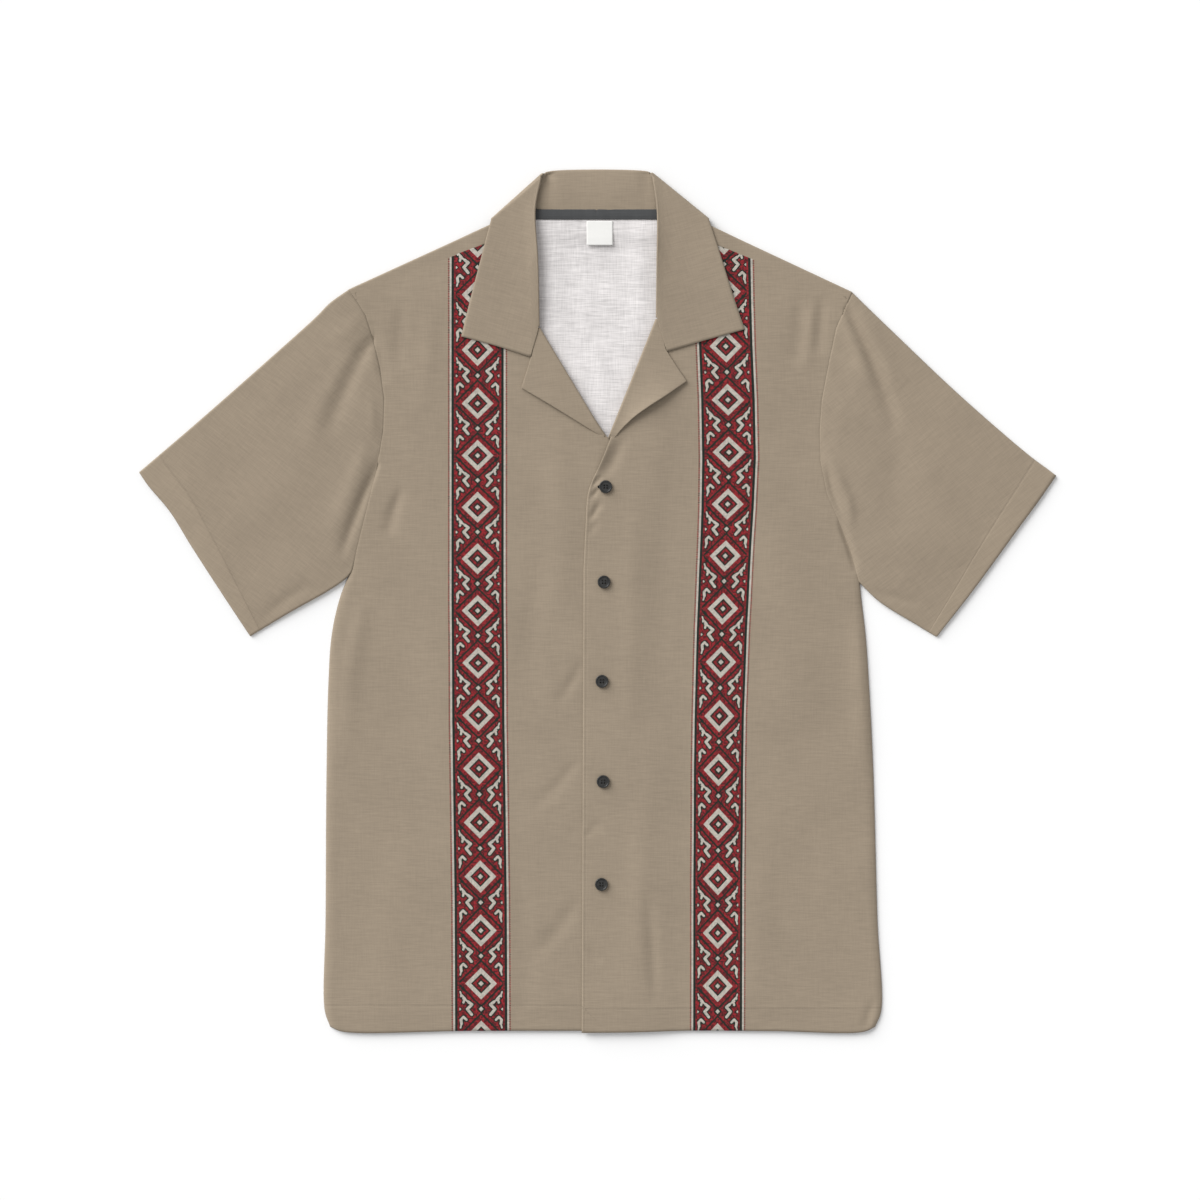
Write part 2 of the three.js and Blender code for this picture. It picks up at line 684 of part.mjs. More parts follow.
function makeButtons() {
  const seat = frontLevel + clothWall + layerGap + clothWall / 2 + buttonGap;
  const shape = buttonGeometry();
  buttonPlaces.forEach(({ x, y }, n) => {
    const mesh = add("button_" + (n + 1), shape.clone(), colours.button);
    mesh.position.set(x, y, seat);
  });
}

makeBack();
["right", "left"].forEach((side) => {
  makeShoulder(side);
  makeFront(side);
  makeSleeve(side);
  makeLapel(side);
});
makeCollar();
makeOnBack("neck_tape", tape, 12, [0, 1], colours.tape);
makeOnBack("care_label", label, 3, [0, 0.25, 0.5, 0.75, 1], colours.label);
makeButtons();

export default shirt;
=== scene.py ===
import math

import bmesh
import bpy
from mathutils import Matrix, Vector
from mathutils.geometry import interpolate_bezier


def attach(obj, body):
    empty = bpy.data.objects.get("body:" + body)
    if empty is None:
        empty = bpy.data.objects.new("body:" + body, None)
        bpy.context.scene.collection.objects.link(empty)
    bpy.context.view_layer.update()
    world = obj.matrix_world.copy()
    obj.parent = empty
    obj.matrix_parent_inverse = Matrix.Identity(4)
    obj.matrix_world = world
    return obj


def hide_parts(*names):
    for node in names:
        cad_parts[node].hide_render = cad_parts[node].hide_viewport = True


# A camp shirt laid flat on its back. The tables are in millimetres, with the wearer's
# right at -X, and become metres as they reach a mesh.

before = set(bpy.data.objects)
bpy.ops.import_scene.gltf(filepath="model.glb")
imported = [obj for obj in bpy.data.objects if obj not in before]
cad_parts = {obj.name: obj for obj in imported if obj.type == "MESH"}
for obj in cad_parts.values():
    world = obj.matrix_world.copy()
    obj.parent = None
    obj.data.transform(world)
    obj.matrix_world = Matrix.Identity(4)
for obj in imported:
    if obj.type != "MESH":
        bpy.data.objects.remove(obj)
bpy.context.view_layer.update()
mm = 0.001

# The camera comes first: straight above, where the photograph was taken from
view = {"lens": 85, "sensor": 36, "place": (2.275, 0.96, 2578), "end": 20}
camera = bpy.data.objects.new("camera", bpy.data.cameras.new("camera"))
camera.data.lens = view["lens"]
camera.data.sensor_width = view["sensor"]
camera.data.clip_end = view["end"]
camera.location = Vector(view["place"]) * mm
bpy.context.collection.objects.link(camera)
bpy.context.scene.camera = camera


# Outlines in plan

sideSeams = {
    "right": [(-243, -387), (-248, -372), (-247.2, -290), (-246.3, -154), (-244.5, -72),
              (-241.5, -30), (-233.5, 5), (-223.9, 27.5)],
    "left": [(252.5, -387), (258, -372), (254.5, -290), (250.7, -154), (246.6, -72),
             (243.6, -30), (239.5, 5), (238.2, 17.5)],
}
armholes = {  # armpit to shoulder tip
    "right": [(-223.9, 27.5), (-216, 60), (-208, 92), (-200.5, 122), (-195, 155),
              (-194, 184), (-198, 212), (-204, 238), (-211, 260), (-226, 283.5)],
    "left": [(238.2, 17.5), (229.5, 48), (219, 74), (208.8, 96.5), (202.8, 127),
             (202, 155), (204, 183), (210.5, 217), (217, 248), (231.6, 281)],
}
hemLines = {  # side seam to opening
    "right": [(-243, -387), (-231, -391.4), (-120, -390.6), (-40, -390.5), (25, -390.6)],
    "left": [(252.5, -387), (241, -391.6), (160, -390.8), (80, -390.4), (30, -391.8),
             (-14.3, -392.2)],
}
openingEdges = {  # hem to the foot of the roll line
    "right": [(25, 28), (25, 90), (25, 125), (18, 142), (8.3, 149.3)],
    "left": [(-12.6, 28), (-10.9, 64.7), (-8.8, 97), (-5.2, 108.5), (2.3, 124.3), (8, 138),
             (11.3, 146.6)],
}
necklines = {
    "right": [(-55.8, 246.7), (-58, 254), (-60.6, 310), (-64, 340.5)],
    "left": [(56.5, 255.5), (59.4, 264), (64.6, 310), (68, 341)],
}
shoulders = {  # the edge that the back wraps over, and the seam in front of it
    "right": {"tip": (-226, 283.5), "neck": (-62, 358.5),
              "seamTip": (-219.4, 273.2), "seamNeck": (-64, 340.5), "inward": (0.397, -0.918)},
    "left": {"tip": (231.6, 281), "neck": (66, 358.5),
             "seamTip": (227, 270.6), "seamNeck": (68, 341), "inward": (-0.397, -0.918)},
}
sides = ("right", "left")
outward = {"right": -1, "left": 1}


def mix(a, b, t):
    return a + (b - a) * t


def smooth(x, low, high):
    t = min(1, max(0, (x - low) / (high - low)))
    return t * t * (3 - 2 * t)


def rounded(x, reach):
    # rises from 0 to 1 over the reach, as a quarter of a circle does
    return math.sqrt(1 - (1 - min(1, max(0, x / reach))) ** 2)


def moved(p, direction, distance):
    return Vector(p) + Vector(direction) * distance


def between(a, b, t):
    return Vector(a).lerp(Vector(b), t)


def straight(points):
    last = len(points) - 1

    def at(t):
        k = min(int(t * last + 1e-9), last - 1)
        return between(points[k], points[k + 1], t * last - k)
    return at


def curved(points, steps=24, count=300):
    # a smooth line through the points, even along its length
    knots = [Vector(p) for p in points]
    ends = [2 * knots[0] - knots[1], *knots, 2 * knots[-1] - knots[-2]]
    fine = [knots[0]]
    for before, a, b, after in zip(ends, ends[1:], ends[2:], ends[3:]):
        d, e, f = (math.sqrt((q - p).length) for p, q in ((before, a), (a, b), (b, after)))
        handleA = (d * d * b - e * e * before + (2 * d * d + 3 * d * e + e * e) * a) / (3 * d * (d + e))
        handleB = (f * f * a - e * e * after + (2 * f * f + 3 * f * e + e * e) * b) / (3 * f * (f + e))
        fine += interpolate_bezier(a, handleA, handleB, b, steps)[1:]
    reached = [0]
    for a, b in zip(fine, fine[1:]):
        reached.append(reached[-1] + (b - a).length)
    evenly, k = [], 0
    for n in range(count + 1):
        target = reached[-1] * n / count
        while k < len(fine) - 2 and reached[k + 1] < target:
            k += 1
        share = (target - reached[k]) / (reached[k + 1] - reached[k])
        evenly.append(fine[k].lerp(fine[k + 1], share))
    along = straight(evenly)
    return lambda t: along(min(1, max(0, t)))


def chained(lines):
    def at(t):
        k = min(int(t * len(lines) + 1e-9), len(lines) - 1)
        return lines[k](t * len(lines) - k)
    return at


def patch(south, north, west, east):
    # a surface in plan between four edges
    s0, s1, n0, n1 = south(0), south(1), north(0), north(1)

    def at(u, v):
        cross = between(west(v), east(v), u) + between(south(u), north(u), v)
        return cross - between(s0.lerp(s1, u), n0.lerp(n1, u), v)
    return at


# Creases, each a soft trough or ridge along a line: points, half-width at its two ends, height
creases = {}
creases["front_right"] = [
    ([(-180, 98), (-186, 80), (-191, 58)], 4.5, 7, -1.7),
    ([(-205, 250), (-198, 224), (-193, 196)], 5, 7, -1.2),
    ([(23, 146), (14, 128), (4, 111)], 6, 5, -2.1),
    ([(-179, 264), (-179.5, 238), (-183, 205)], 6, 9, -0.8),
    ([(-152, 258), (-154, 214), (-160, 170)], 7, 12, 0.7),
    ([(-34, -90), (-24, -74), (-13, -53)], 5, 4, -0.8),
    ([(-54, -184), (-35, -166), (-16, -142)], 7, 4, -0.8),
    ([(-56, -320), (-37, -300), (-16, -270)], 9, 6, -1.0),
    ([(-40, 150), (-30, 60), (-34, -20)], 14, 18, 1.2),
    ([(-214, -8), (-226, -70), (-229, -150)], 7, 12, 1.2),
    ([(-150, -40), (-134, -150), (-120, -250)], 18, 26, 1.2),
    ([(-176, -210), (-186, -300), (-196, -372)], 14, 18, 0.5),
    ([(-72, -252), (-66, -330), (-70, -386)], 9, 13, -0.9),
    ([(-52, 30), (-62, -30), (-58, -110)], 10, 14, -0.8),
]
creases["front_left"] = [
    ([(204, 272), (203, 250), (200, 222)], 5, 7, -1.1),
    ([(183.5, 270), (183, 246), (180, 214)], 6, 9, -0.9),
    ([(194, 262), (193, 236), (188, 205)], 4, 7, 0.7),
    ([(-4, 105), (-0.3, 109.5), (4.5, 114)], 2.4, 3, -1.5),
    ([(-5.2, 94.8), (-1.8, 98.8), (1.8, 103)], 2, 2.4, -1.5),
    ([(-6, 75), (-2, 82), (3.6, 90.5)], 2.6, 3.4, -1.5),
    ([(-7, 62), (-4, 67), (2, 73)], 2.8, 4, -0.6),
    ([(9.5, 146), (4.5, 131), (-3.5, 117)], 5, 3.5, 2.1),
    ([(23, 146), (14, 128), (4, 111)], 6, 5, -1.5),
    ([(46, -270), (50, -320), (52, -368)], 6, 4, -1.3),
    ([(40, -190), (39, -280), (36, -360)], 9, 12, 0.9),
    ([(66, 120), (58, 10), (54, -120)], 12, 16, -0.9),
    ([(34, 90), (31, -10), (30, -150)], 9, 12, 0.8),
    ([(160, 60), (176, -30), (190, -120)], 20, 26, 1.3),
    ([(236, -20), (240, -90), (242, -160)], 7, 12, 1.1),
    ([(250, -366), (246, -377), (243, -390)], 4, 5, -0.9),
    ([(150, -240), (144, -310), (150, -380)], 14, 18, 0.9),
    ([(-9, -316), (-4, -322), (4, -330)], 3, 5, -0.5),
    ([(-11, -214), (-4, -206), (4, -202)], 3, 5, -0.5),
]
creases["sleeve_right"] = [
    ([(-204, 239), (-211, 229.5), (-220, 221)], 2.2, 4, -1.6),
    ([(-207, 236), (-223, 208), (-238, 176), (-251, 146)], 5, 9, -2.6),
    ([(-228, 216), (-247, 176), (-264, 132)], 9, 16, 1.3),
    ([(-200, 124), (-212, 99), (-223, 70), (-234, 38)], 3, 5.5, -2.5),
    ([(-213, 132), (-226, 98), (-245, 52)], 6, 10, 1.4),
    ([(-206, 184), (-203.5, 166), (-205, 150)], 4, 5, 0.8),
    ([(-262, 152), (-296, 100), (-330, 56)], 22, 26, 1.2),
    ([(-300, -12), (-280, 4), (-262, 14)], 5, 5, -0.8),
    ([(-214, 262), (-224, 248), (-244, 236)], 5, 9, 0.7),
]
creases["sleeve_left"] = [
    ([(227, 264), (244, 230), (257, 201), (273.5, 154)], 3.2, 6.5, -3.8),
    ([(224, 260), (237, 230), (251, 194)], 3.5, 7, 1.3),
    ([(240, 260), (257, 228), (273, 188)], 7, 12, 1.6),
    ([(218, 234), (225, 226), (235, 213)], 2.6, 4, -1.2),
    ([(214, 218), (223, 206), (234, 189)], 2.8, 6, -1.2),
    ([(207.7, 131), (219.1, 111.6), (228, 91.1), (232, 66)], 4, 5, 2.0),
    ([(209, 118), (213.5, 100), (222, 80)], 2.4, 3, -1.3),
    ([(220, 70), (228, 48), (235, 25)], 2.6, 3.5, -1.9),
    ([(270, 140), (272, 104), (284, 60)], 14, 22, -1.4),
    ([(290, 128), (312, 80), (336, 34)], 20, 24, 1.2),
    ([(256, 8), (275, 2), (293, -3)], 4, 4, -0.9),
]
# the side that the shirt lies on, and what shows of it in the neck
creases["back"] = [
    ([(-39, 335), (-37, 290), (-33, 225)], 5, 8, 1.0),
    ([(-13, 320), (-11, 280), (-6, 225)], 4, 7, 0.7),
    ([(37, 335), (39, 280), (33, 205)], 6, 9, 1.0),
    ([(0, 235), (4, 200), (7, 165)], 5, 6, 0.7),
    ([(-150, 180), (-164, 60), (-158, -80)], 12, 18, 0.25),
    ([(120, 150), (138, 10), (150, -140)], 13, 20, 0.28),
    ([(-40, -120), (-30, -240), (-46, -370)], 12, 16, 0.22),
    ([(60, -60), (70, -170), (58, -300)], 10, 15, 0.25),
]

# reach is in widths, strongest the share of its length where a crease is highest
softness = {"reach": 3, "strongest": 0.45, "fade": 0.75, "beside": 8}


def creaseHeight(rows, at):
    # how far the creases raise the cloth at a place
    total = 0
    for points, widthA, widthB, height in rows:
        nearest, share, last = 1e9, 0, len(points) - 1
        for k in range(last):
            a, run = Vector(points[k]), Vector(points[k + 1]) - Vector(points[k])
            t = (at - a).dot(run) / run.length_squared
            clamped = min(1, max(0, t))
            distance = (at - a - run * clamped).length
            if distance < nearest:
                nearest, share = distance, (k + clamped) / last
        width = mix(widthA, widthB, share)
        if nearest < softness["reach"] * width:
            fade = 1 - softness["fade"] * abs(2 * share - 2 * softness["strongest"]) ** 3
            total += height * fade * math.exp(-((nearest / width) ** 2))
    return total


def sharedCreases(own, other, at, fromSeam):
    # beside a seam each piece also takes the other's creases
    beside = 1 - smooth(fromSeam, 0, softness["beside"])
    total = creaseHeight(creases[own], at)
    return total + beside * creaseHeight(creases[other], at) if beside > 0 else total


# Pieces from one grid: place(u, v) gives the middle of the cloth in mm, and maps(u, v, at)
# the grain and the stitching there

def sheet(name, columns, rows, place, maps, wall, materials, ring=False, flip=False, keep=None):
    mesh = bmesh.new()
    bmesh.ops.create_grid(mesh, x_segments=columns, y_segments=rows, size=0.5)
    spots = {v: (v.co.x + 0.5, v.co.y + 0.5) for v in mesh.verts}
    if keep:
        cut = [v for v, (across, up) in spots.items() if not keep(across, up)]
        bmesh.ops.delete(mesh, geom=cut, context="VERTS")
    grain = mesh.loops.layers.uv.new("grain")
    stitch = mesh.loops.layers.uv.new("stitch")
    for v in mesh.verts:
        v.co = Vector(place(*spots[v])) * mm
    read = {v: maps(*spots[v], v.co / mm) for v in mesh.verts}
    for face in mesh.faces:
        face.smooth = True
        for loop in face.loops:
            along, sewn = read[loop.vert]
            loop[grain].uv = Vector(along) * mm
            loop[stitch].uv = Vector(sewn) * mm
    if ring:
        bmesh.ops.remove_doubles(mesh, verts=mesh.verts, dist=1e-6)
    if flip:
        bmesh.ops.reverse_faces(mesh, faces=mesh.faces)
    return finished(name, mesh, materials, wall)


def linked(name, mesh, materials):
    data = bpy.data.meshes.new(name)
    mesh.to_mesh(data)
    mesh.free()
    made = bpy.data.objects.new(name, data)
    bpy.context.collection.objects.link(made)
    for material in materials:
        data.materials.append(material)
    return made


def finished(name, mesh, materials, wall=0):
    piece = linked(name, mesh, materials)
    if wall:
        thicken = piece.modifiers.new("wall", "SOLIDIFY")
        thicken.thickness = wall * mm
        thicken.offset = 0
        if len(materials) > 1:
            thicken.material_offset = 1
    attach(piece, "root")
    return piece


# Materials

def operator(operation, swapped=False):
    def method(self, other):
        return self.sum(operation, other, self) if swapped else self.sum(operation, self, other)
    return method


class Socket:
    def __init__(self, tree, link=None):
        self.tree = tree
        self.link = link

    def node(self, kind, settings=(), inputs=(), output=0):
        made = self.tree.nodes.new(kind)
        for name, value in dict(settings).items():
            if name == "stops":
                while len(made.color_ramp.elements) < len(value):
                    made.color_ramp.elements.new(0.5)
                for stop, (place, colour) in zip(made.color_ramp.elements, value):
                    stop.position, stop.color = place, colour
            else:
                setattr(made, name, value)
        for name, value in dict(inputs).items():
            if isinstance(value, Socket):
                self.tree.links.new(value.link, made.inputs[name])
            else:
                made.inputs[name].default_value = value
        return Socket(self.tree, made.outputs[output])

    def sum(self, operation, *terms):
        return self.node("ShaderNodeMath", {"operation": operation}, dict(enumerate(terms)))

    __add__ = __radd__ = operator("ADD")
    __mul__ = __rmul__ = operator("MULTIPLY")
    __sub__, __rsub__ = operator("SUBTRACT"), operator("SUBTRACT", swapped=True)
    __truediv__, __mod__ = operator("DIVIDE"), operator("FLOORED_MODULO")
    __lt__, __gt__ = operator("LESS_THAN"), operator("GREATER_THAN")
    __or__ = operator("MAXIMUM")  # the larger of two

    def __abs__(self):
        return self.sum("ABSOLUTE", self)

    def colour(self, factor, below, above, blend="MIX"):
        settings = {"data_type": "RGBA", "blend_type": blend}
        return self.node("ShaderNodeMix", settings, {0: factor, 6: below, 7: above}, 2)

    def into(self, shader, name):
        self.tree.links.new(self.link, shader.inputs[name])

    def map(self, name):
        # a UV map in millimetres, as its two numbers
        spot = self.node("ShaderNodeUVMap", {"uv_map": name})
        return [self.node("ShaderNodeSeparateXYZ", (), {0: spot}, k) * (1 / mm) for k in (0, 1)]

    def vector(self, x, y, z=0.0):
        return self.node("ShaderNodeCombineXYZ", (), {0: x, 1: y, 2: z})

    def noise(self, spot, scale, detail=2.0, roughness=0.5):
        inputs = {"Vector": spot, "Scale": scale, "Detail": detail, "Roughness": roughness}
        return self.node("ShaderNodeTexNoise", {"noise_dimensions": "3D"}, inputs)


def linear(red, green, blue):
    # a colour from 0 to 255 as the shader wants it
    return tuple((c / 255 / 12.92 if c < 10.5 else ((c / 255 + 0.055) / 1.055) ** 2.4)
                 for c in (red, green, blue)) + (1.0,)


def material(name, roughness, sheen=0.0, specular=0.25):
    made = bpy.data.materials.new(name)
    made.use_nodes = True
    shader = made.node_tree.nodes["Principled BSDF"]
    shader.inputs["Roughness"].default_value = roughness
    shader.inputs["Sheen Weight"].default_value = sheen
    shader.inputs["Specular IOR Level"].default_value = specular
    return made, Socket(made.node_tree), shader


def bumped(start, height, distance, strength):
    inputs = {"Height": height, "Distance": distance * mm, "Strength": strength}
    return start.node("ShaderNodeBump", (), inputs)


weave = {
    "thread": 0.62, "threadHeight": 0.25, "slubLength": 15, "slubWidth": 0.9,
    "shares": (1.3, 0.7), "cloud": 60, "cloudShare": 0.5,
    "height": 0.35, "bump": (0.25, 0.6),  # its depth and strength
}
stitching = {
    "pitch": 2.7, "thread": 1.8, "half": 0.3, "groove": 1.5, "paintedGrooveShade": 0.07, "threadShade": 0.05,
    "grooveDepth": 1.2, "threadRise": 0.8, "hemEdge": -0.4,
}


def woven(start, tint, across, along):
    # slubs and threads both ways, as a tint about 1 and a height
    threads, heights = [], []
    for run, other, share in zip((across, along), (along, across), weave["shares"]):
        stretched = start.vector(run / weave["slubLength"], other / weave["slubWidth"], 3.7)
        slub = start.noise(stretched, 1.0, 2.0, 0.55)
        threads.append((slub - 0.5) * share)
        fine = start.sum("SINE", other * (2 * math.pi / weave["thread"]))
        heights.append(fine * weave["threadHeight"] + slub)
    cloudy = start.noise(start.vector(across / weave["cloud"], along / weave["cloud"]), 1.0, 1.0)
    shade = 1 + (threads[0] + threads[1]) * tint + (cloudy - 0.5) * tint * weave["cloudShare"]
    return shade, heights[0] + heights[1]


def sewnLine(start, distance, run):
    # stitches along the line at distance 0, and the groove that they pull
    onLine = abs(distance) < stitching["half"]
    onThread = (run % stitching["pitch"]) < stitching["thread"]
    groove = 1 - start.sum("MINIMUM", abs(distance) / stitching["groove"], 1.0)
    return onLine * onThread, groove


# The printed band, charted in mm from its middle line and from the small diamond
chart = {
    "pitch": 48.0,
    "small": 25.0,  # small diamond's distance above the large one
    "red": linear(138, 30, 36), "deepRed": linear(58, 26, 28),
    "dark": linear(24, 33, 27), "white": linear(174, 168, 158),
    # distance from the large diamond's middle, and the colour up to it
    "rings": [(2.4, "white"), (4.5, "dark"), (7.4, "red"), (9.1, "dark"), (14.4, "white"),
              (19.6, "red"), (21.9, "dark")],
    "dot": [(2.2, "white"), (4.2, "dark")],
    # from, to and half-width of each white stroke; y is down the band
    "strokes": [
        (-19.0, -15.6, -17.7, -11.8, 0.75), (-17.7, -11.8, -14.9, -8.9, 1.5),
        (-14.9, -8.9, -11.6, -6.4, 0.9), (-11.6, -6.4, -8.4, -4.0, 1.35),
        (-8.4, -4.0, -12.6, 0.1, 1.35), (-12.6, 0.1, -8.6, 5.0, 1.35),
        (-15.2, -8.8, -16.0, -5.9, 1.1),
        (-13.4, 9.8, -16.1, 7.2, 1.1), (-16.1, 7.2, -18.6, 9.9, 1.1),
        (-18.4, 9.9, -17.9, 13.4, 1.3), (-17.9, 13.4, -18.8, 17.0, 0.8),
    ],
    "square": 0.45,  # the strokes' ends
    "rim": 1.2, "spotRim": 1.3,
    "spots": [(-19.3, 0.2, 1.3, "white"), (-15.7, 10.5, 1.2, "dark"), (-17.6, -10.0, 1.0, "dark"),
              (-16.6, -18.6, 2.0, "dark")],
    # the borders, from the middle line outward
    "borders": [(19.8, 21.5, "red"), (21.5, 23.7, "dark"), (23.7, 25.4, "white")],
    "line": (25.5, 26.9), "bead": (2.1, 0.72), "lineShare": 0.85,
    "stitch": 1.25, "mottle": (0.84, 0.32),
}


def band(start, across, along):
    # the band's colour, with the mottle of cross stitch, and where it is
    side = abs(across)
    up = along % chart["pitch"]
    fromLarge = side + start.sum("MINIMUM", up, chart["pitch"] - up)
    down = chart["small"] - up
    fromSmall = side + abs(down)
    cell = [start.sum("FLOOR", run / chart["stitch"]) for run in (across, along)]
    flecks = start.node("ShaderNodeTexWhiteNoise", {"noise_dimensions": "2D"},
                        {"Vector": start.vector(*cell)})
    colours = {"red": start.colour(flecks, chart["deepRed"], chart["red"]),
               "dark": chart["dark"], "white": chart["white"]}
    printed = start.colour(0.0, colours["red"], colours["red"])
    for reach, name in reversed(chart["rings"]):
        printed = start.colour(fromLarge < reach, printed, colours[name])
    for reach, name in reversed(chart["dot"]):
        printed = start.colour(fromSmall < reach, printed, colours[name])
    # the side motif is the same left and right; its rim is dark
    nearest = None
    for x0, y0, x1, y1, half in chart["strokes"]:
        runX, runY = x1 - x0, y1 - y0
        length = runX * runX + runY * runY
        fromX, fromY = -1 * side - x0, down - y0
        share = start.sum("MINIMUM", (fromX * runX + fromY * runY) / length | 0.0, 1.0)
        offX, offY = abs(fromX - share * runX), abs(fromY - share * runY)
        reach = (offX | offY) * (1 - chart["square"]) + (offX + offY) * chart["square"] - half
        nearest = reach if nearest is None else start.sum("MINIMUM", nearest, reach)
    printed = start.colour(nearest < chart["rim"], printed, colours["dark"])
    printed = start.colour(nearest < 0.0, printed, colours["white"])
    for x0, y0, half, name in chart["spots"]:
        off = abs(-1 * side - x0) + abs(down - y0)
        if name == "white":
            printed = start.colour(off < half + chart["spotRim"], printed, colours["dark"])
        printed = start.colour(off < half, printed, colours[name])
    for inner, outer, name in chart["borders"]:
        printed = start.colour((side > inner) * (side < outer), printed, colours[name])
    least, more = chart["mottle"]
    tint = least + more * flecks
    printed = start.colour(1.0, printed, start.vector(tint, tint, tint), "MULTIPLY")
    inner, outer = chart["line"]
    pitch, share = chart["bead"]
    beads = (along % pitch) < pitch * share
    fringe = (side > inner) * (side < outer) * beads * chart["lineShare"]
    inside = side < chart["borders"][-1][1]
    return printed, inside | fringe


def cloth(name, base, tint, printed=False, hemTint=0.0):
    made, start, shader = material(name, 0.88, 0.12)
    across, along = start.map("grain")
    distance, run = start.map("stitch")
    shade, height = woven(start, tint, across, along)
    ground = start.colour(0.0, base, base)
    if printed:
        colour, where = band(start, across, along)
        ground = start.colour(where, ground, colour)
    stitches, groove = sewnLine(start, distance, run)
    # painted shade along the groove that each stitched line pulls, with the stitches themselves a little
    # lighter
    shade = shade - groove * stitching["paintedGrooveShade"] + stitches * stitching["threadShade"]
    shade = shade + (distance < stitching["hemEdge"]) * hemTint
    tinted = start.colour(1.0, ground, start.vector(shade, shade, shade), "MULTIPLY")
    height = height * weave["height"] - groove * stitching["grooveDepth"] + stitches * stitching["threadRise"]
    tinted.into(shader, "Base Color")
    bumped(start, height, *weave["bump"]).into(shader, "Normal")
    return made


finishes = {  # colour, and how far the weave tints it
    "cloth": (linear(145, 131.5, 114), 0.26),
    "inside": (linear(212, 208, 207), 0.6),
    "tape": (linear(70, 71, 72), 0.25),
    "label": (linear(226, 225, 222), 0.03),
}
beige = cloth("beigeCloth", *finishes["cloth"], hemTint=0.05)
printedCloth = cloth("printedCloth", *finishes["cloth"], printed=True)
paleInside = cloth("paleInside", *finishes["inside"])
greyTape = cloth("greyTape", *finishes["tape"])
labelSatin = cloth("labelSatin", *finishes["label"])
print("materials made")


# Heights of the layers, to the middle of the cloth
layers = {
    "wall": 0.5,
    "back": 0.32,
    "front": 3.35,  # at its seams
    "frontLift": 1.1,  # more, away from its seams
    "overlap": 1.6,  # the left front over the right one
    "overlapX": (44, 84), "overlapY": (140, 200),  # where it dies away
    "neckRise": 1.6,  # over the collar's fall
    "neckX": (106, 132),
    "seamFoot": 0.85,  # where the front meets the back at the side
    "seamRound": 9,
    "hem": 24.5,
    "hemRise": 0.3,
}


def overlapShare(at):
    return (1 - smooth(at.x, *layers["overlapX"])) * (1 - smooth(at.y, *layers["overlapY"]))


def neckShare(at):
    return 1 - smooth(abs(at.x), *layers["neckX"])


def bodyEdge(side):
    return chained([curved(sideSeams[side]), straight(armholes[side])])


def endingAt(line, last):
    return lambda v: line(v) if v < 1 else Vector(last)


def bunched(u, amount=0.62):
    # closer together toward both ends
    return u - amount * math.sin(2 * math.pi * u) / (2 * math.pi)


def turnedGrain(at, degrees=0.0):
    turn = math.radians(degrees)
    return (at.x * math.cos(turn) + at.y * math.sin(turn), at.y * math.cos(turn) - at.x * math.sin(turn))


def unsewn(degrees=0.0):
    return lambda u, v, at: (turnedGrain(at, degrees), (99, at.x))


def dip(edge, distance):
    # how far the cloth sinks toward an edge, from its depth and reach there
    depth, reach = edge
    return depth * (1 - rounded(distance, reach))


def nearestLine(*lines):
    # the stitched line that is nearest: (distance, run along it)
    return min(lines, key=lambda line: abs(line[0]))


# Back

backCloth = {
    "columns": 100, "rows": 220, "over": 24,  # rows up the body, then over the shoulders
    "shoulder": 0.36, "crowding": 1.4,  # share of the columns beside the neck
    "turn": 0.6,  # share of the rows over a shoulder that go round its edge
    "neck": [(-48, 352.4), (0, 350.8), (52, 352.4)],
    "neckRows": (0.944, 0.972), "seamGap": 0.15, "seamDip": 0.1,
}


def backHeight(at, v):
    rise = layers["neckRise"] * neckShare(at) * smooth(v, *backCloth["neckRows"])
    return layers["back"] + rise + max(0, creaseHeight(creases["back"], at))


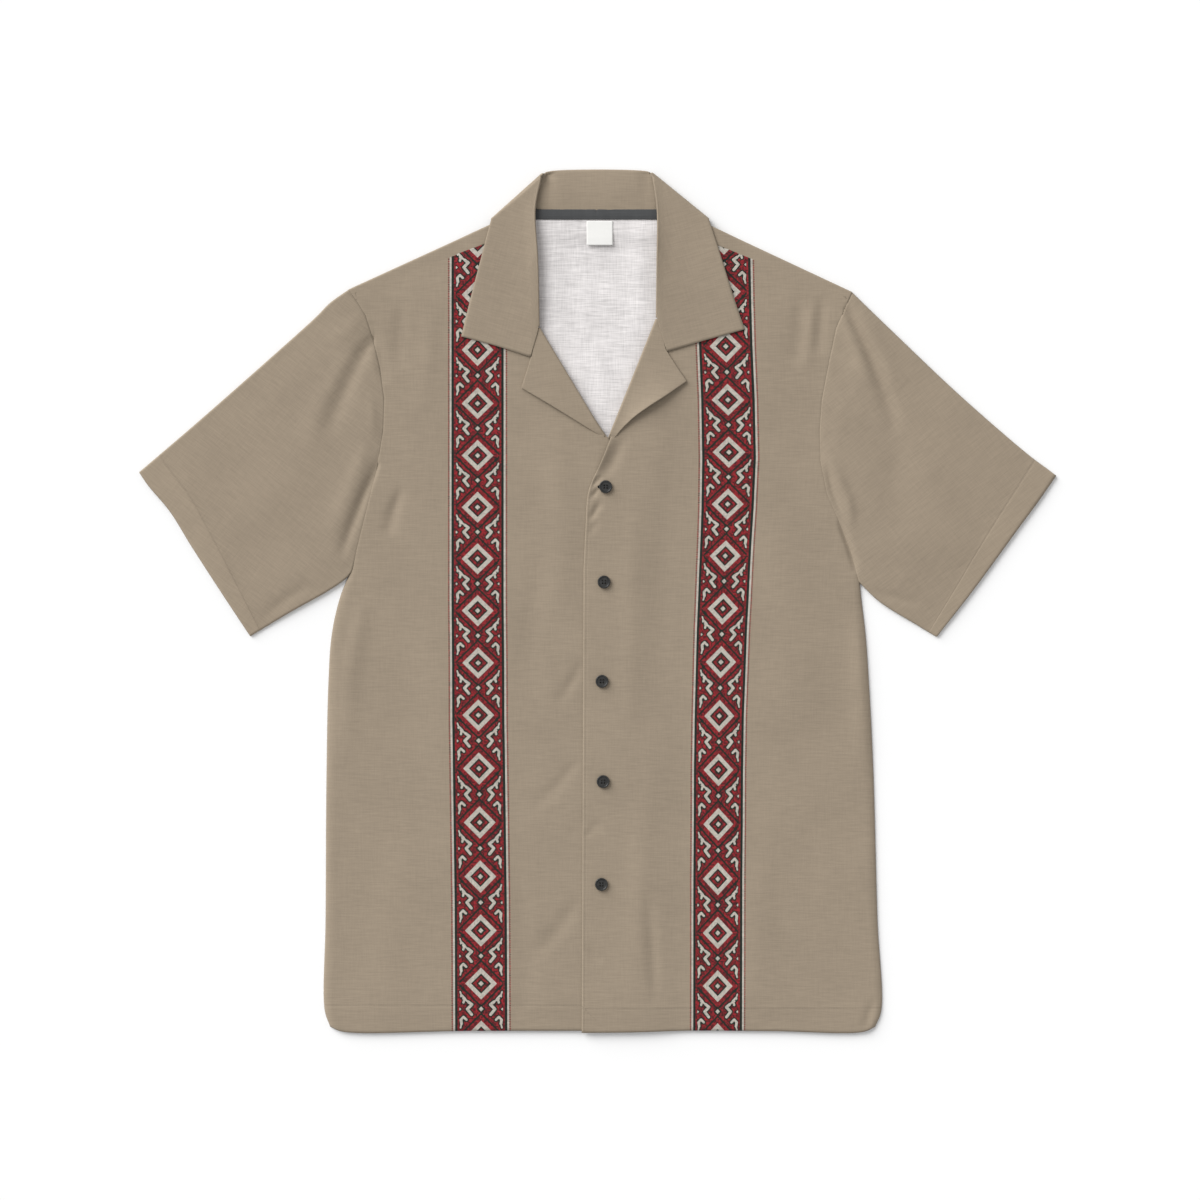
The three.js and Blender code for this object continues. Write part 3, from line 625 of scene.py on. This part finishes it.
def makeBack():
    c = backCloth
    bend = (layers["front"] - layers["back"]) / 2
    inset = bend + layers["wall"] / 2
    ends = {side: {end: moved(shoulders[side][end], shoulders[side]["inward"], inset)
                   for end in ("tip", "neck")} for side in sides}
    neck = curved([ends["right"]["neck"], *c["neck"], ends["left"]["neck"]])
    part, turn = c["shoulder"], c["turn"]

    def top(u):
        if u < part:
            return between(ends["right"]["tip"], ends["right"]["neck"], u / part)
        if u > 1 - part:
            return between(ends["left"]["neck"], ends["left"]["tip"], (u - 1 + part) / part)
        return neck((u - part) / (1 - 2 * part))

    hem = hemLines["right"][:-1] + [(0, -391)] + hemLines["left"][-3::-1]
    plan = patch(curved(hem), top,
                 *(endingAt(bodyEdge(side), ends[side]["tip"]) for side in sides))
    rows, over = c["rows"], c["over"]
    full = rows + over

    def eased(u):
        # columns closer together toward the sides
        if u < part:
            return part * (u / part) ** c["crowding"]
        return 1 - part * ((1 - u) / part) ** c["crowding"] if u > 1 - part else u

    def place(u, v):
        u = eased(u)
        row = round(v * full)
        if row <= rows:
            at = plan(u, row / rows)
            return (*at, backHeight(at, row / rows))
        side, t = ("right", u / part) if u < 0.5 else ("left", (1 - u) / part)
        shoulder = shoulders[side]
        edge = between(shoulder["tip"], shoulder["neck"], t)
        low = layers["back"] + layers["neckRise"] * neckShare(edge)
        k = (row - rows) / over
        turned = math.radians(-90 + 180 * min(1, k / turn))
        bent = moved(edge, shoulder["inward"], inset - bend * math.cos(turned))
        height = low + bend + bend * math.sin(turned)
        if k <= turn:
            return (*bent, height)
        seam = between(shoulder["seamTip"], shoulder["seamNeck"], t)
        seam = moved(seam, shoulder["inward"], -c["seamGap"])
        share = (k - turn) / (1 - turn)
        return (*between(bent, seam, share), height - c["seamDip"] * smooth(share, 0.75, 1))

    def maps(u, v, at):
        return turnedGrain(at), (at.y + 391 - layers["hem"], at.x)

    def keep(u, v):
        return v * full < rows + 0.5 or min(u, 1 - u) < part + 1e-4

    return sheet("shirt_back", c["columns"], full, place, maps, layers["wall"],
                 [paleInside, beige], keep=keep)


def bothSides(make, node):
    made = {}
    for side in sides:
        made[side] = make(side)
        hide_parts(node + side)
    return made


# Fronts

# Middle line and half-width of each band, and the height of every large diamond
bandLines = {
    "right": {
        "middle": [(330, -108.9), (0, -108.9), (-55, -108.4), (-110, -108.2), (-136, -107.8),
                   (-190, -107.1), (-272, -106.1), (-330, -105.8), (-395, -105.6)],
        "half": [(330, 26.5), (-395, 26.5)],
        "diamonds": [278.3, 228.1, 179.4, 132.2, 85.2, 38.4, -8.7, -56.2, -103.6, -152, -201,
                     -250.2, -299.3, -347.4, -395.6],
    },
    "left": {
        "middle": [(330, 114.6), (274, 115.4), (232, 116.5), (183, 118.5), (130, 119.5), (83, 118.1),
                   (55, 116.7), (28, 115.4), (1, 114.3), (-26, 113), (-56, 112.1), (-105, 110.6),
                   (-154, 109.9), (-203, 109.7), (-253, 109.3), (-395, 109.1)],
        "half": [(330, 27), (130, 27.3), (55, 26), (-105, 25), (-395, 24.8)],
        "diamonds": [281, 231.3, 182.7, 135.2, 88, 41, -6.9, -55.4, -104.4, -153.3, -202.7,
                     -252.4, -301.5, -349.7, -398],
    },
}


def tabled(rows, y):
    # a value from (height, value) rows, highest first
    for (highY, high), (lowY, low) in zip(rows, rows[1:]):
        if y >= lowY or lowY == rows[-1][0]:
            return mix(high, low, min(1, max(0, (highY - y) / (highY - lowY))))


frontCloth = {
    "columns": 110, "rows": 400,
    "hemRun": 840, "shoulderRun": 380,  # mm for all of v, at its pace there
    "shoulderDip": (0.6, 4), "openingDip": (0.35, 2.5), "hemDip": (0.5, 3), "armholeDip": 0.3,
    "armholeRound": 2.5,
    "hemStitch": {"right": 23.9, "left": 21.2}, "edgeStitch": 2.6, "bandHalf": 26.5,
}


def bandGrain(side, at):
    line = bandLines[side]
    rows = [(y, -n * chart["pitch"]) for n, y in enumerate(line["diamonds"])]
    across = (at.x - tabled(line["middle"], at.y)) * frontCloth["bandHalf"] / tabled(line["half"], at.y)
    above = max(0, at.y - rows[0][0])
    return across, tabled(rows, at.y) + above


def makeFront(side):
    c = frontCloth
    hem = hemLines[side]
    outer = bodyEdge(side)
    shoulder = shoulders[side]
    edge = openingEdges[side]
    neckline = necklines[side]
    aboveArmpit = chained([curved(edge), straight([edge[-1], neckline[0]]), curved(neckline)])
    plan = patch(curved(hem), straight([shoulder["seamTip"], shoulder["seamNeck"]]),
                 endingAt(outer, shoulder["seamTip"]),
                 lambda v: between(hem[-1], edge[0], v * 2) if v < 0.5 else aboveArmpit(v * 2 - 1))

    def place(u, v):
        u = bunched(u)
        at = plan(u, v)
        width = (outer(v) - plan(1, v)).length
        fromSide, fromEdge = u * width, (1 - u) * width
        inside = smooth(u, 0, 0.4) * smooth(v, 0, 0.04)
        nearShoulder = smooth(v, 0.92, 1)
        lift = mix(layers["frontLift"] * inside, layers["neckRise"] * neckShare(at), nearShoulder)
        over = layers["overlap"] * overlapShare(at) if side == "left" else 0
        fromSeam = fromSide if v > 0.5 else 99
        level = layers["front"] + lift + over + sharedCreases("front_" + side, "sleeve_" + side, at, fromSeam)
        level -= dip(c["shoulderDip"], c["shoulderRun"] * (1 - v))
        level -= dip(c["openingDip"], fromEdge) * (1 - smooth(v, 0.7, 0.75))
        level -= dip(c["hemDip"], v * c["hemRun"])
        level += layers["hemRise"] * (1 - smooth(at.y, -369, -366))
        # the side seam is deep and round below the armpit, the armhole shallow
        foot = mix(layers["seamFoot"], level - c["armholeDip"], smooth(v, 0.47, 0.53))
        reach = mix(layers["seamRound"], c["armholeRound"], smooth(v, 0.45, 0.55))
        return (*at, mix(foot, level, rounded(fromSide, reach)))

    def maps(u, v, at):
        spot = Vector(at[:2])
        hemStitch = (at.y + 391.5 - c["hemStitch"][side], at.x)
        edgeX = plan(1, v).x if v < 0.62 else 1e4  # none beside the roll line
        edgeStitch = (abs(at.x - edgeX) - c["edgeStitch"], at.y)
        shoulderSeam = (c["shoulderRun"] * (1 - v) - 0.2, at.x)
        return bandGrain(side, spot), nearestLine(hemStitch, edgeStitch, shoulderSeam)

    return sheet("shirt_front_" + side, c["columns"], c["rows"], place, maps,
                 layers["wall"], [printedCloth, paleInside], flip=side == "left")


back = makeBack()
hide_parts("back", "shoulder_right", "shoulder_left")
print("back made")
fronts = bothSides(makeFront, "front_")
print("fronts made")


# Sleeves: flattened tubes

sleeves = {
    "right": {
        "under": [(-223.9, 27.5), (-229, 21), (-244.3, 10.1), (-281.3, -10.9), (-315.8, -31.8)],
        "over": [(-226, 283.5), (-243.4, 271.2), (-256, 258.5), (-304.4, 214.8), (-366.3, 160.2),
                 (-398.1, 132.9), (-416.7, 117)],
        "cuff": [(-315.8, -31.8), (-343.5, 10.1), (-369.9, 51), (-388.6, 81.2), (-409, 105.6),
                 (-416.7, 117)],
        "grain": -38,
    },
    "left": {
        "under": [(238.2, 17.5), (257.1, -0.5), (291.7, -22.2), (308.4, -32.4)],
        "over": [(231.6, 281), (241.6, 271.2), (271.6, 242.1), (329, 187.5), (391.8, 132.9),
                 (410, 119.3), (417, 113.9)],
        "cuff": [(308.4, -32.4), (341.7, 10.1), (381.7, 64.7), (401.8, 92), (417, 113.9)],
        "grain": 38,
    },
}
sleeveCloth = {
    "around": 130, "along": 96, "crowding": 0.85, "length": 255, "tuck": 0.7,
    "bend": 1.55, "cuffBend": 0.95, "edge": 1.7,
    "cuffLift": 0.4, "hemRows": (0.895, 0.91), "seamDip": 0.3, "cuffDip": (0.4, 3),
}


def makeSleeve(side):
    c = sleeveCloth
    cut = sleeves[side]
    shift = -outward[side] * c["tuck"]
    armhole = straight([(x + shift, y) for x, y in armholes[side]])
    surface = patch(curved(cut["under"]), curved(cut["over"]), armhole, curved(cut["cuff"]))
    around = c["around"]

    def place(u, v):
        # half of the way round is the upper layer, from the under edge to the over edge
        step = round(u * around) % around / around * 2
        upper = step < 1
        across = bunched(step if upper else 2 - step, c["crowding"])
        at = surface(v, across)
        width = (surface(v, 1) - surface(v, 0)).length
        swell = rounded(min(across, 1 - across) * width, c["edge"])
        bend = mix(c["bend"], c["cuffBend"], smooth(v, 0.5, 1))
        middle = layers["back"] + bend
        if not upper:
            return (*at, middle - bend * swell)
        inside = smooth(across, 0, 0.16) * (1 - smooth(across, 0.84, 1)) * smooth(v, 0, 0.12)
        fromSeam = v * c["length"]
        raised = layers["frontLift"] * inside * mix(1, c["cuffLift"], smooth(v, 0.5, 1))
        raised += sharedCreases("sleeve_" + side, "front_" + side, at, fromSeam) * swell
        raised -= c["seamDip"] * (1 - smooth(fromSeam, 1, 6))
        raised += layers["hemRise"] * smooth(v, *c["hemRows"])
        raised -= dip(c["cuffDip"], (1 - v) * c["length"])
        return (*at, middle + (bend + raised) * swell)

    def maps(u, v, at):
        fromCuff = (1 - v) * c["length"]
        return turnedGrain(at, cut["grain"]), (fromCuff - layers["hem"], at.y)

    return sheet("shirt_sleeve_" + side, around, c["along"], place, maps,
                 layers["wall"], [beige, paleInside], ring=True, flip=side == "left")


sleevePieces = bothSides(makeSleeve, "sleeve_")
print("sleeves made")


# Lapels: a strip under the front, round its edge at the roll line, and the leaf on top

lapels = {
    "right": {
        "roll": [(7.2, 149.6), (-52.3, 248.6)], "notch": (-60.1, 220.9),
        "outer": [(4.2, 150.4), (-14, 160.5), (-42, 177.6), (-69.2, 193.6)],
        "inward": (-0.857, -0.516), "standOff": 1.2,
    },
    "left": {
        "roll": [(9.2, 147.6), (52.85, 256.6)], "notch": (62.45, 226.3),
        "outer": [(12.8, 146.4), (21.9, 156), (33.5, 167), (45.3, 175.5), (61.8, 186.2), (81, 199.4)],
        "inward": (0.927, -0.375), "standOff": 4.6,
    },
}
lapelCloth = {
    "wall": 0.9, "apart": 1.35, "strip": 12, "underShare": 0.12, "bendShare": 0.3,
    "columns": 60, "rows": 64, "cornerShare": 0.75, "clear": 0.75, "edgeDip": 0.25,
    # at the foot of the roll line the fold closes, the strip is short and the leaf sinks in
    "foot": 0.16, "footApart": 0.2, "footStrip": 0.15, "footSink": -0.4,
    "grain": {"right": 6, "left": -6},
}


def makeLapel(side):
    c = lapelCloth
    cut = lapels[side]
    under, bend, corner = c["underShare"], c["bendShare"], c["cornerShare"]
    inward, outer, roll = cut["inward"], cut["outer"], cut["roll"]
    rollAt = straight(roll)
    start = moved(outer[0], inward, 0.9)
    lower = curved([start, *outer[1:]])
    over = layers["overlap"] if side == "left" else 0

    def apartAt(v):
        return c["apart"] * mix(c["footApart"], 1, smooth(v, 0, c["foot"]))

    def insetAt(v):
        return apartAt(v) + c["wall"] / 2

    plan = patch(straight([moved(roll[0], inward, insetAt(0)), start]),
                 straight([moved(roll[1], inward, insetAt(1)), cut["notch"]]),
                 lambda v: moved(rollAt(v), inward, insetAt(v)),
                 lambda v: (lower(v / corner) if v < corner
                            else between(outer[-1], cut["notch"], (v - corner) / (1 - corner))))

    def front(at):
        return layers["front"] + layers["frontLift"] + overlapShare(at) * over

    def place(u, v):
        edge = rollAt(v)
        level, apart, inset = front(edge), apartAt(v), insetAt(v)
        if u < under:
            strip = c["strip"] * mix(c["footStrip"], 1, smooth(v, 0, c["foot"]))
            depth = mix(inset + strip, inset, u / under)
            return (*moved(edge, inward, depth), level - mix(c["apart"], apart, u / under))
        if u < bend:
            turned = math.radians(-90 + 180 * (u - under) / (bend - under))
            bent = moved(edge, inward, inset - apart * math.cos(turned))
            return (*bent, level + apart * math.sin(turned))
        out = (u - bend) / (1 - bend)
        at = plan(out, v)
        lifted = cut["standOff"] * out * out * math.sin(math.pi * min(1, v * 1.15)) ** 2
        clear = mix(c["footSink"], max(apart, c["clear"]), smooth(v, 0, 0.07))
        return (*at, front(at) + clear + lifted - c["edgeDip"] * smooth(out, 0.94, 1))

    return sheet("shirt_lapel_" + side, c["columns"], c["rows"], place, unsewn(c["grain"][side]),
                 c["wall"], [beige], flip=side == "right")


lapelPieces = bothSides(makeLapel, "lapel_")
print("lapels made")


# Collar: one strip round the neck, folded along its roll

collarSides = {
    "right": {
        "neck": [(-55, 251.4), (-58.4, 310), (-61.4, 341), (-59.4, 357.4)],
        "roll": [(-52.8, 249.2), (-54.1, 310), (-56.4, 356), (-50.6, 386.6)],
        "end": [(-60.6, 221.6), (-92, 231.6), (-123.8, 240.3)],
        "edge": [(-123.8, 240.3), (-116, 272), (-104, 318), (-97.6, 341)],
        "corner": (-49.9, 390.4), "fold": (-96.4, 347.4), "neckFold": (-60.6, 358.2),
    },
    "left": {
        "neck": [(55.4, 259.4), (62.4, 310), (65.6, 341), (63.4, 357.4)],
        "roll": [(53.3, 257.3), (53.8, 310), (54, 356), (49.9, 386.6)],
        "end": [(62.9, 226.7), (98, 236.8), (133.8, 246.7)],
        "edge": [(133.8, 246.7), (124, 275), (110.5, 318), (103.4, 340.4)],
        "corner": (49.5, 390.9), "fold": (101, 347.6), "neckFold": (64.6, 358.2),
    },
}
rollHeights = [(0, 5.6), (0.25, 8.2), (0.5, 9), (0.75, 7.6), (1, 5.45)]
collarCloth = {
    "wall": 0.8, "turn": 1.2, "bend": 0.95, "fallLow": 0.45, "standLow": 2.2, "fallHigh": 6.3,
    "onFront": 60, "aroundCorner": 14, "acrossBack": 44, "across": 62, "stand": 0.28, "fold": 0.36,
    "notch": 0.3, "top": 392.5, "fall": 342, "clear": 1.25, "edgeDip": 0.3, "grain": 16,
    "dents": [(-46, 2.2), (44, 0.8)], "dentWidth": 6, "waves": (0.18, 9),  # in the stand, behind the neck
}


def makeCollar():
    c = collarCloth
    fallTurn = (c["fallHigh"] - c["fallLow"]) / 2
    rolling = curved(rollHeights)

    def section(stand, fold, fall):
        # s runs from the neck seam up the stand, round the roll and down the fall
        def at(s):
            if s < c["stand"]:
                return stand(s / c["stand"])
            if s > c["fold"]:
                return fall((s - c["fold"]) / (1 - c["fold"]))
            return fold((s - c["stand"]) / (c["fold"] - c["stand"]))
        return at

    def onFront(side, leaf, neckAt, t):
        away = outward[side]
        top = rolling(t).y
        front = layers["front"] + layers["frontLift"]
        rest = mix(front + c["clear"], c["fallHigh"], smooth(t, 0.1, 0.6))
        low = mix(front, c["standLow"] + 2 * c["turn"], smooth(t, 0.1, 0.9))
        rollPoint = leaf(0, t)
        under = moved(rollPoint, (away, 0), c["bend"])

        def fold(q):
            turned = math.radians(-90 + 180 * q)
            bent = moved(rollPoint, (away, 0), c["bend"] * (1 - math.cos(turned)))
            return (*bent, top + c["bend"] * math.sin(turned))

        def fall(q):
            at = leaf(q, t)
            start = moved(leaf(0, t), (away, 0), c["bend"])
            at = start.lerp(at, smooth(q, 0, 0.05)) if q < 0.05 else at
            settle = max(0, 1 - q / 0.65) ** 2
            return (*at, mix(rest, top + c["bend"], settle) - c["edgeDip"] * smooth(q, 0.96, 1))

        return section(lambda q: (*between(neckAt(t), under, q), mix(low, top - c["bend"], q)), fold, fall)

    def sideStations(side):
        cut = collarSides[side]
        away = outward[side]
        foldEnd = moved(cut["fold"], (away * 0.15, -0.7), fallTurn)
        endAt, rollAt, neckAt = curved(cut["end"]), curved(cut["roll"]), curved(cut["neck"])
        leaf = patch(
            lambda s: (between(cut["roll"][0], cut["end"][0], s / c["notch"]) if s < c["notch"]
                       else endAt((s - c["notch"]) / (1 - c["notch"]))),
            lambda s: between(rollAt(1), foldEnd, s),
            rollAt,
            curved([*cut["edge"][:-1], foldEnd]))
        return [onFront(side, leaf, neckAt, n / c["onFront"]) for n in range(c["onFront"] + 1)]

    def corner(side):
        cut = collarSides[side]
        away = outward[side]
        standTop = moved(cut["corner"], (-away, -2.2), 1)
        fallTop = moved(cut["corner"], (away, -2.2), 1)

        def station(turned):
            around = 1 - math.cos(turned)

            def level(turn, low):
                return low + turn + turn * math.sin(turned)

            def stand(q):
                at = moved(between(cut["neckFold"], standTop, q), (-away * 0.95, -0.3), c["turn"] * around)
                return (*at, level(c["turn"], c["standLow"]))

            def fall(q):
                inward = (away * mix(-0.7, 0.15, q), -0.7)
                at = moved(between(fallTop, cut["fold"], q), inward, fallTurn * around)
                return (*at, level(fallTurn, c["fallLow"]))

            def fold(q):
                low, high = Vector(stand(1)), Vector(fall(0))
                apex = moved(cut["corner"], (0, -1), c["wall"] / 2 + 1.5 + 0.3 * around)
                out = math.sin(math.pi * q)
                at = low.lerp(high, q)
                at.xy = at.xy.lerp(apex, 0.9 * out)
                return tuple(at)

            return section(stand, fold, fall)

        steps = c["aroundCorner"]
        return [station(math.radians(mix(72, -90, n / steps))) for n in range(steps + 1)]

    def acrossBack():
        right, left = collarSides["right"], collarSides["left"]

        def bridge(name, step, middle):
            return curved([moved(right[name], step, 1), *middle, moved(left[name], (-step[0], step[1]), 1)])

        topAt = bridge("corner", (1.2, -0.9), [(-40, 391), (-1.4, c["top"] - c["wall"] / 2), (39, 391.2)])
        neckAt = bridge("neckFold", (1.3, -0.5), [(-48, 354.4), (0, 351.6), (52, 354.4)])
        edgeAt = bridge("fold", (2.1, -2.1), [(-72, c["fall"]), (0, c["fall"]), (76, c["fall"])])

        def station(t):
            top = topAt(t)
            low = moved(top, (0, -1), c["bend"])
            half = (c["standLow"] - c["fallLow"]) / 2

            def stand(q):
                at = between(neckAt(t), low, q)
                dent = sum(depth * math.exp(-((at.x - x) / c["dentWidth"]) ** 2) for x, depth in c["dents"])
                height, length = c["waves"]
                waves = height * math.sin(at.x / length) * math.sin(math.pi * q)
                return (*at, c["standLow"] + 0.9 * math.sin(math.pi * q) - dent * (0.3 + 0.7 * q) + waves)

            def fold(q):
                turned = math.radians(90 - 180 * q)
                at = moved(low, (0, 1), c["bend"] * math.cos(turned))
                return (*at, c["fallLow"] + half + half * math.sin(turned))

            return section(stand, fold, lambda q: (*between(low, edgeAt(t), q), c["fallLow"]))

        return [station(n / c["acrossBack"]) for n in range(1, c["acrossBack"])]

    stations = (sideStations("right") + corner("right") + acrossBack()
                + corner("left")[::-1] + sideStations("left")[::-1])
    last = len(stations) - 1

    def place(u, v):
        return stations[round(u * last)](v)

    def maps(u, v, at):
        turn = c["grain"] * (1 if at.x > 0 else -1) * smooth(abs(at.x), 52, 60)
        return turnedGrain(at, turn), (99, at.x)

    return sheet("shirt_collar", last, c["across"], place, maps, c["wall"], [beige])


collar = makeCollar()
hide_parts("collar")
print("collar made")


# Neck tape and care label, which lie on the back

tape = {
    "from": -57, "to": 54.5, "low": 346.9, "high": 355.9, "wall": 0.6, "clear": 0.1, "lift": 0.35,
    "pucker": 0.1, "mark": (-0.9, 0.7, 0.35), "rimDip": (0.3, 1.2),  # where, how wide, how deep
}
label = {
    "from": -9.9, "to": 13.9, "low": 323.4, "high": 345.4, "wall": 0.35, "clear": 0.55,
    "curl": 0.9, "wave": 0.2,
}


def spotOn(strip, u, v):
    return mix(strip["from"], strip["to"], u), mix(strip["low"], strip["high"], v)


def makeTape():
    below = layers["back"] + layers["neckRise"] + layers["wall"] / 2
    rise = below + tape["clear"] + tape["wall"] / 2 + tape["lift"]
    markX, markWidth, markDepth = tape["mark"]

    def place(u, v):
        x, y = spotOn(tape, u, v)
        puckers = tape["pucker"] * math.sin(x / 2.3) * math.sin(x / 7.1)
        mark = markDepth * math.exp(-((x - markX) / markWidth) ** 2) * smooth(v, 0.3, 0.8)
        rim = dip(tape["rimDip"], min(v, 1 - v) * (tape["high"] - tape["low"]))
        return (x, y, rise + puckers - mark - rim)

    def maps(u, v, at):
        return (at.x, at.y), nearestLine((at.y - tape["low"] - 1.6, at.x), (tape["high"] - 1.3 - at.y, at.x))

    return sheet("neck_tape_cloth", 120, 14, place, maps, tape["wall"], [greyTape])


def makeLabel():
    def place(u, v):
        x, y = spotOn(label, u, v)
        at = Vector((x, y))
        spot = 0.5 + (y - 22) / 657  # about the back's own v there
        lifted = label["curl"] * (1 - v) ** 3 + label["wave"] * (1 - v) * math.sin(3 * u)
        return (x, y, backHeight(at, spot) + label["clear"] + lifted)

    return sheet("care_label_satin", 24, 24, place, unsewn(), label["wall"], [labelSatin])


tapePiece = makeTape()
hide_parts("neck_tape")
labelPiece = makeLabel()
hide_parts("care_label")
print("tape and label made")


# Buttons keep their solids and get thread and a stitched hole beneath

buttons = {
    "places": [(7.4, 103.7), (5.9, 17.3), (4.1, -72.8), (5.1, -163.8), (3.6, -257)],
    "seat": 6.6, "dished": 8.4, "hole": 1.25, "thread": 0.2, "threadLift": 0.12,
    "slits": [-1.7, 0, 0.1, -0.1, 0], "slit": (11.4, 2.6), "stitchInset": 0.2, "stitchRise": 0.25,
}


def mottled(start, shader, scale, detail, roughness, low, high):
    # two tones mixed by noise, which is given back
    noise = start.noise(start.node("ShaderNodeTexCoord", (), (), 3), scale, detail, roughness)
    colour = start.node("ShaderNodeValToRGB", {"stops": [(0.3, low), (0.7, high)]}, {"Fac": noise})
    colour.into(shader, "Base Color")
    return noise


def resin():
    made, start, shader = material("buttonResin", 0.34, specular=0.5)
    swirl = mottled(start, shader, 260.0, 3.0, 0.6, linear(25, 25, 25), linear(47, 47, 46))
    (0.3 + 0.14 * swirl).into(shader, "Roughness")
    return made


def threadFinish(name, low, high):
    made, start, shader = material(name, 0.7)
    fuzz = mottled(start, shader, 2600.0, 2.0, 0.5, low, high)
    bumped(start, fuzz, 0.1, 0.5).into(shader, "Normal")
    return made


def makeThreads():
    # two strands over each button's bridge
    mesh = bmesh.new()
    reach = buttons["hole"]
    for x, y in buttons["places"]:
        for across in (-1, 1):
            strand = bmesh.ops.create_cone(mesh, cap_ends=True, segments=8, radius1=buttons["thread"],
                                           radius2=buttons["thread"], depth=2 * reach)["verts"]
            for v in strand:
                along, side, up = v.co.z, v.co.x, v.co.y
                at = (x + across * reach + side, y + along, buttons["dished"] + buttons["threadLift"] + up)
                v.co = Vector(at) * mm
    for face in mesh.faces:
        face.smooth = True
    grey = threadFinish("buttonThread", linear(26, 26, 26), linear(50, 49, 48))
    return finished("button_threads", mesh, [grey])


def makeButtonholes():
    # satin stitch round the slit in the left front
    mesh = bmesh.new()
    length, width = buttons["slit"]
    rise = buttons["stitchRise"]
    for (x, y), shift in zip(buttons["places"], buttons["slits"]):
        edge = bmesh.ops.create_circle(mesh, cap_ends=True, segments=24, radius=0.5)["verts"]
        slit = edge[0].link_faces[0]
        ring = bmesh.ops.inset_region(mesh, faces=[slit], thickness=buttons["stitchInset"])["faces"]
        for v in {v for face in [slit, *ring] for v in face.verts}:
            end = (length - width) * (0.5 if v.co.x > 0 else -0.5)
            up = buttons["seat"] - rise + (rise if v in slit.verts else 0)
            v.co = Vector((x + shift + end + v.co.x * width, y + v.co.y * width, up)) * mm
    dark = threadFinish("holeThread", linear(7, 7, 7), linear(20, 19, 18))
    return finished("buttonhole_stitching", mesh, [dark])


buttonResin = resin()
for n in range(len(buttons["places"])):
    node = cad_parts["button_" + str(n + 1)]
    for holder in node.material_slots:
        holder.material = buttonResin
threads = makeThreads()
buttonholes = makeButtonholes()
print("buttons made")
# Floor, light and world

studio = {
    "floor": linear(237, 237, 237), "floorHalf": 4, "world": 0.6,
    "key": {"from": (-0.6, 0.58, 0.44), "strength": 3.97, "softness": 46},
}


def makeFloor():
    mesh = bmesh.new()
    bmesh.ops.create_grid(mesh, x_segments=1, y_segments=1, size=studio["floorHalf"])
    made, start, shader = material("paleFloor", 0.9)
    shader.inputs["Base Color"].default_value = studio["floor"]
    floor = linked("floor", mesh, [made])


def makeLight():
    key = studio["key"]
    lamp = bpy.data.lights.new("key", "SUN")
    lamp.energy = key["strength"]
    lamp.angle = math.radians(key["softness"])
    light = bpy.data.objects.new("key", lamp)
    light.rotation_euler = Vector(key["from"]).to_track_quat("Z", "Y").to_euler()
    bpy.context.collection.objects.link(light)
    world = bpy.data.worlds.new("studio")
    world.use_nodes = True
    background = world.node_tree.nodes["Background"]
    background.inputs["Color"].default_value = (1, 1, 1, 1)
    background.inputs["Strength"].default_value = studio["world"]
    bpy.context.scene.world = world


makeFloor()
makeLight()
bpy.context.scene.view_settings.view_transform = "Standard"
print("studio made")
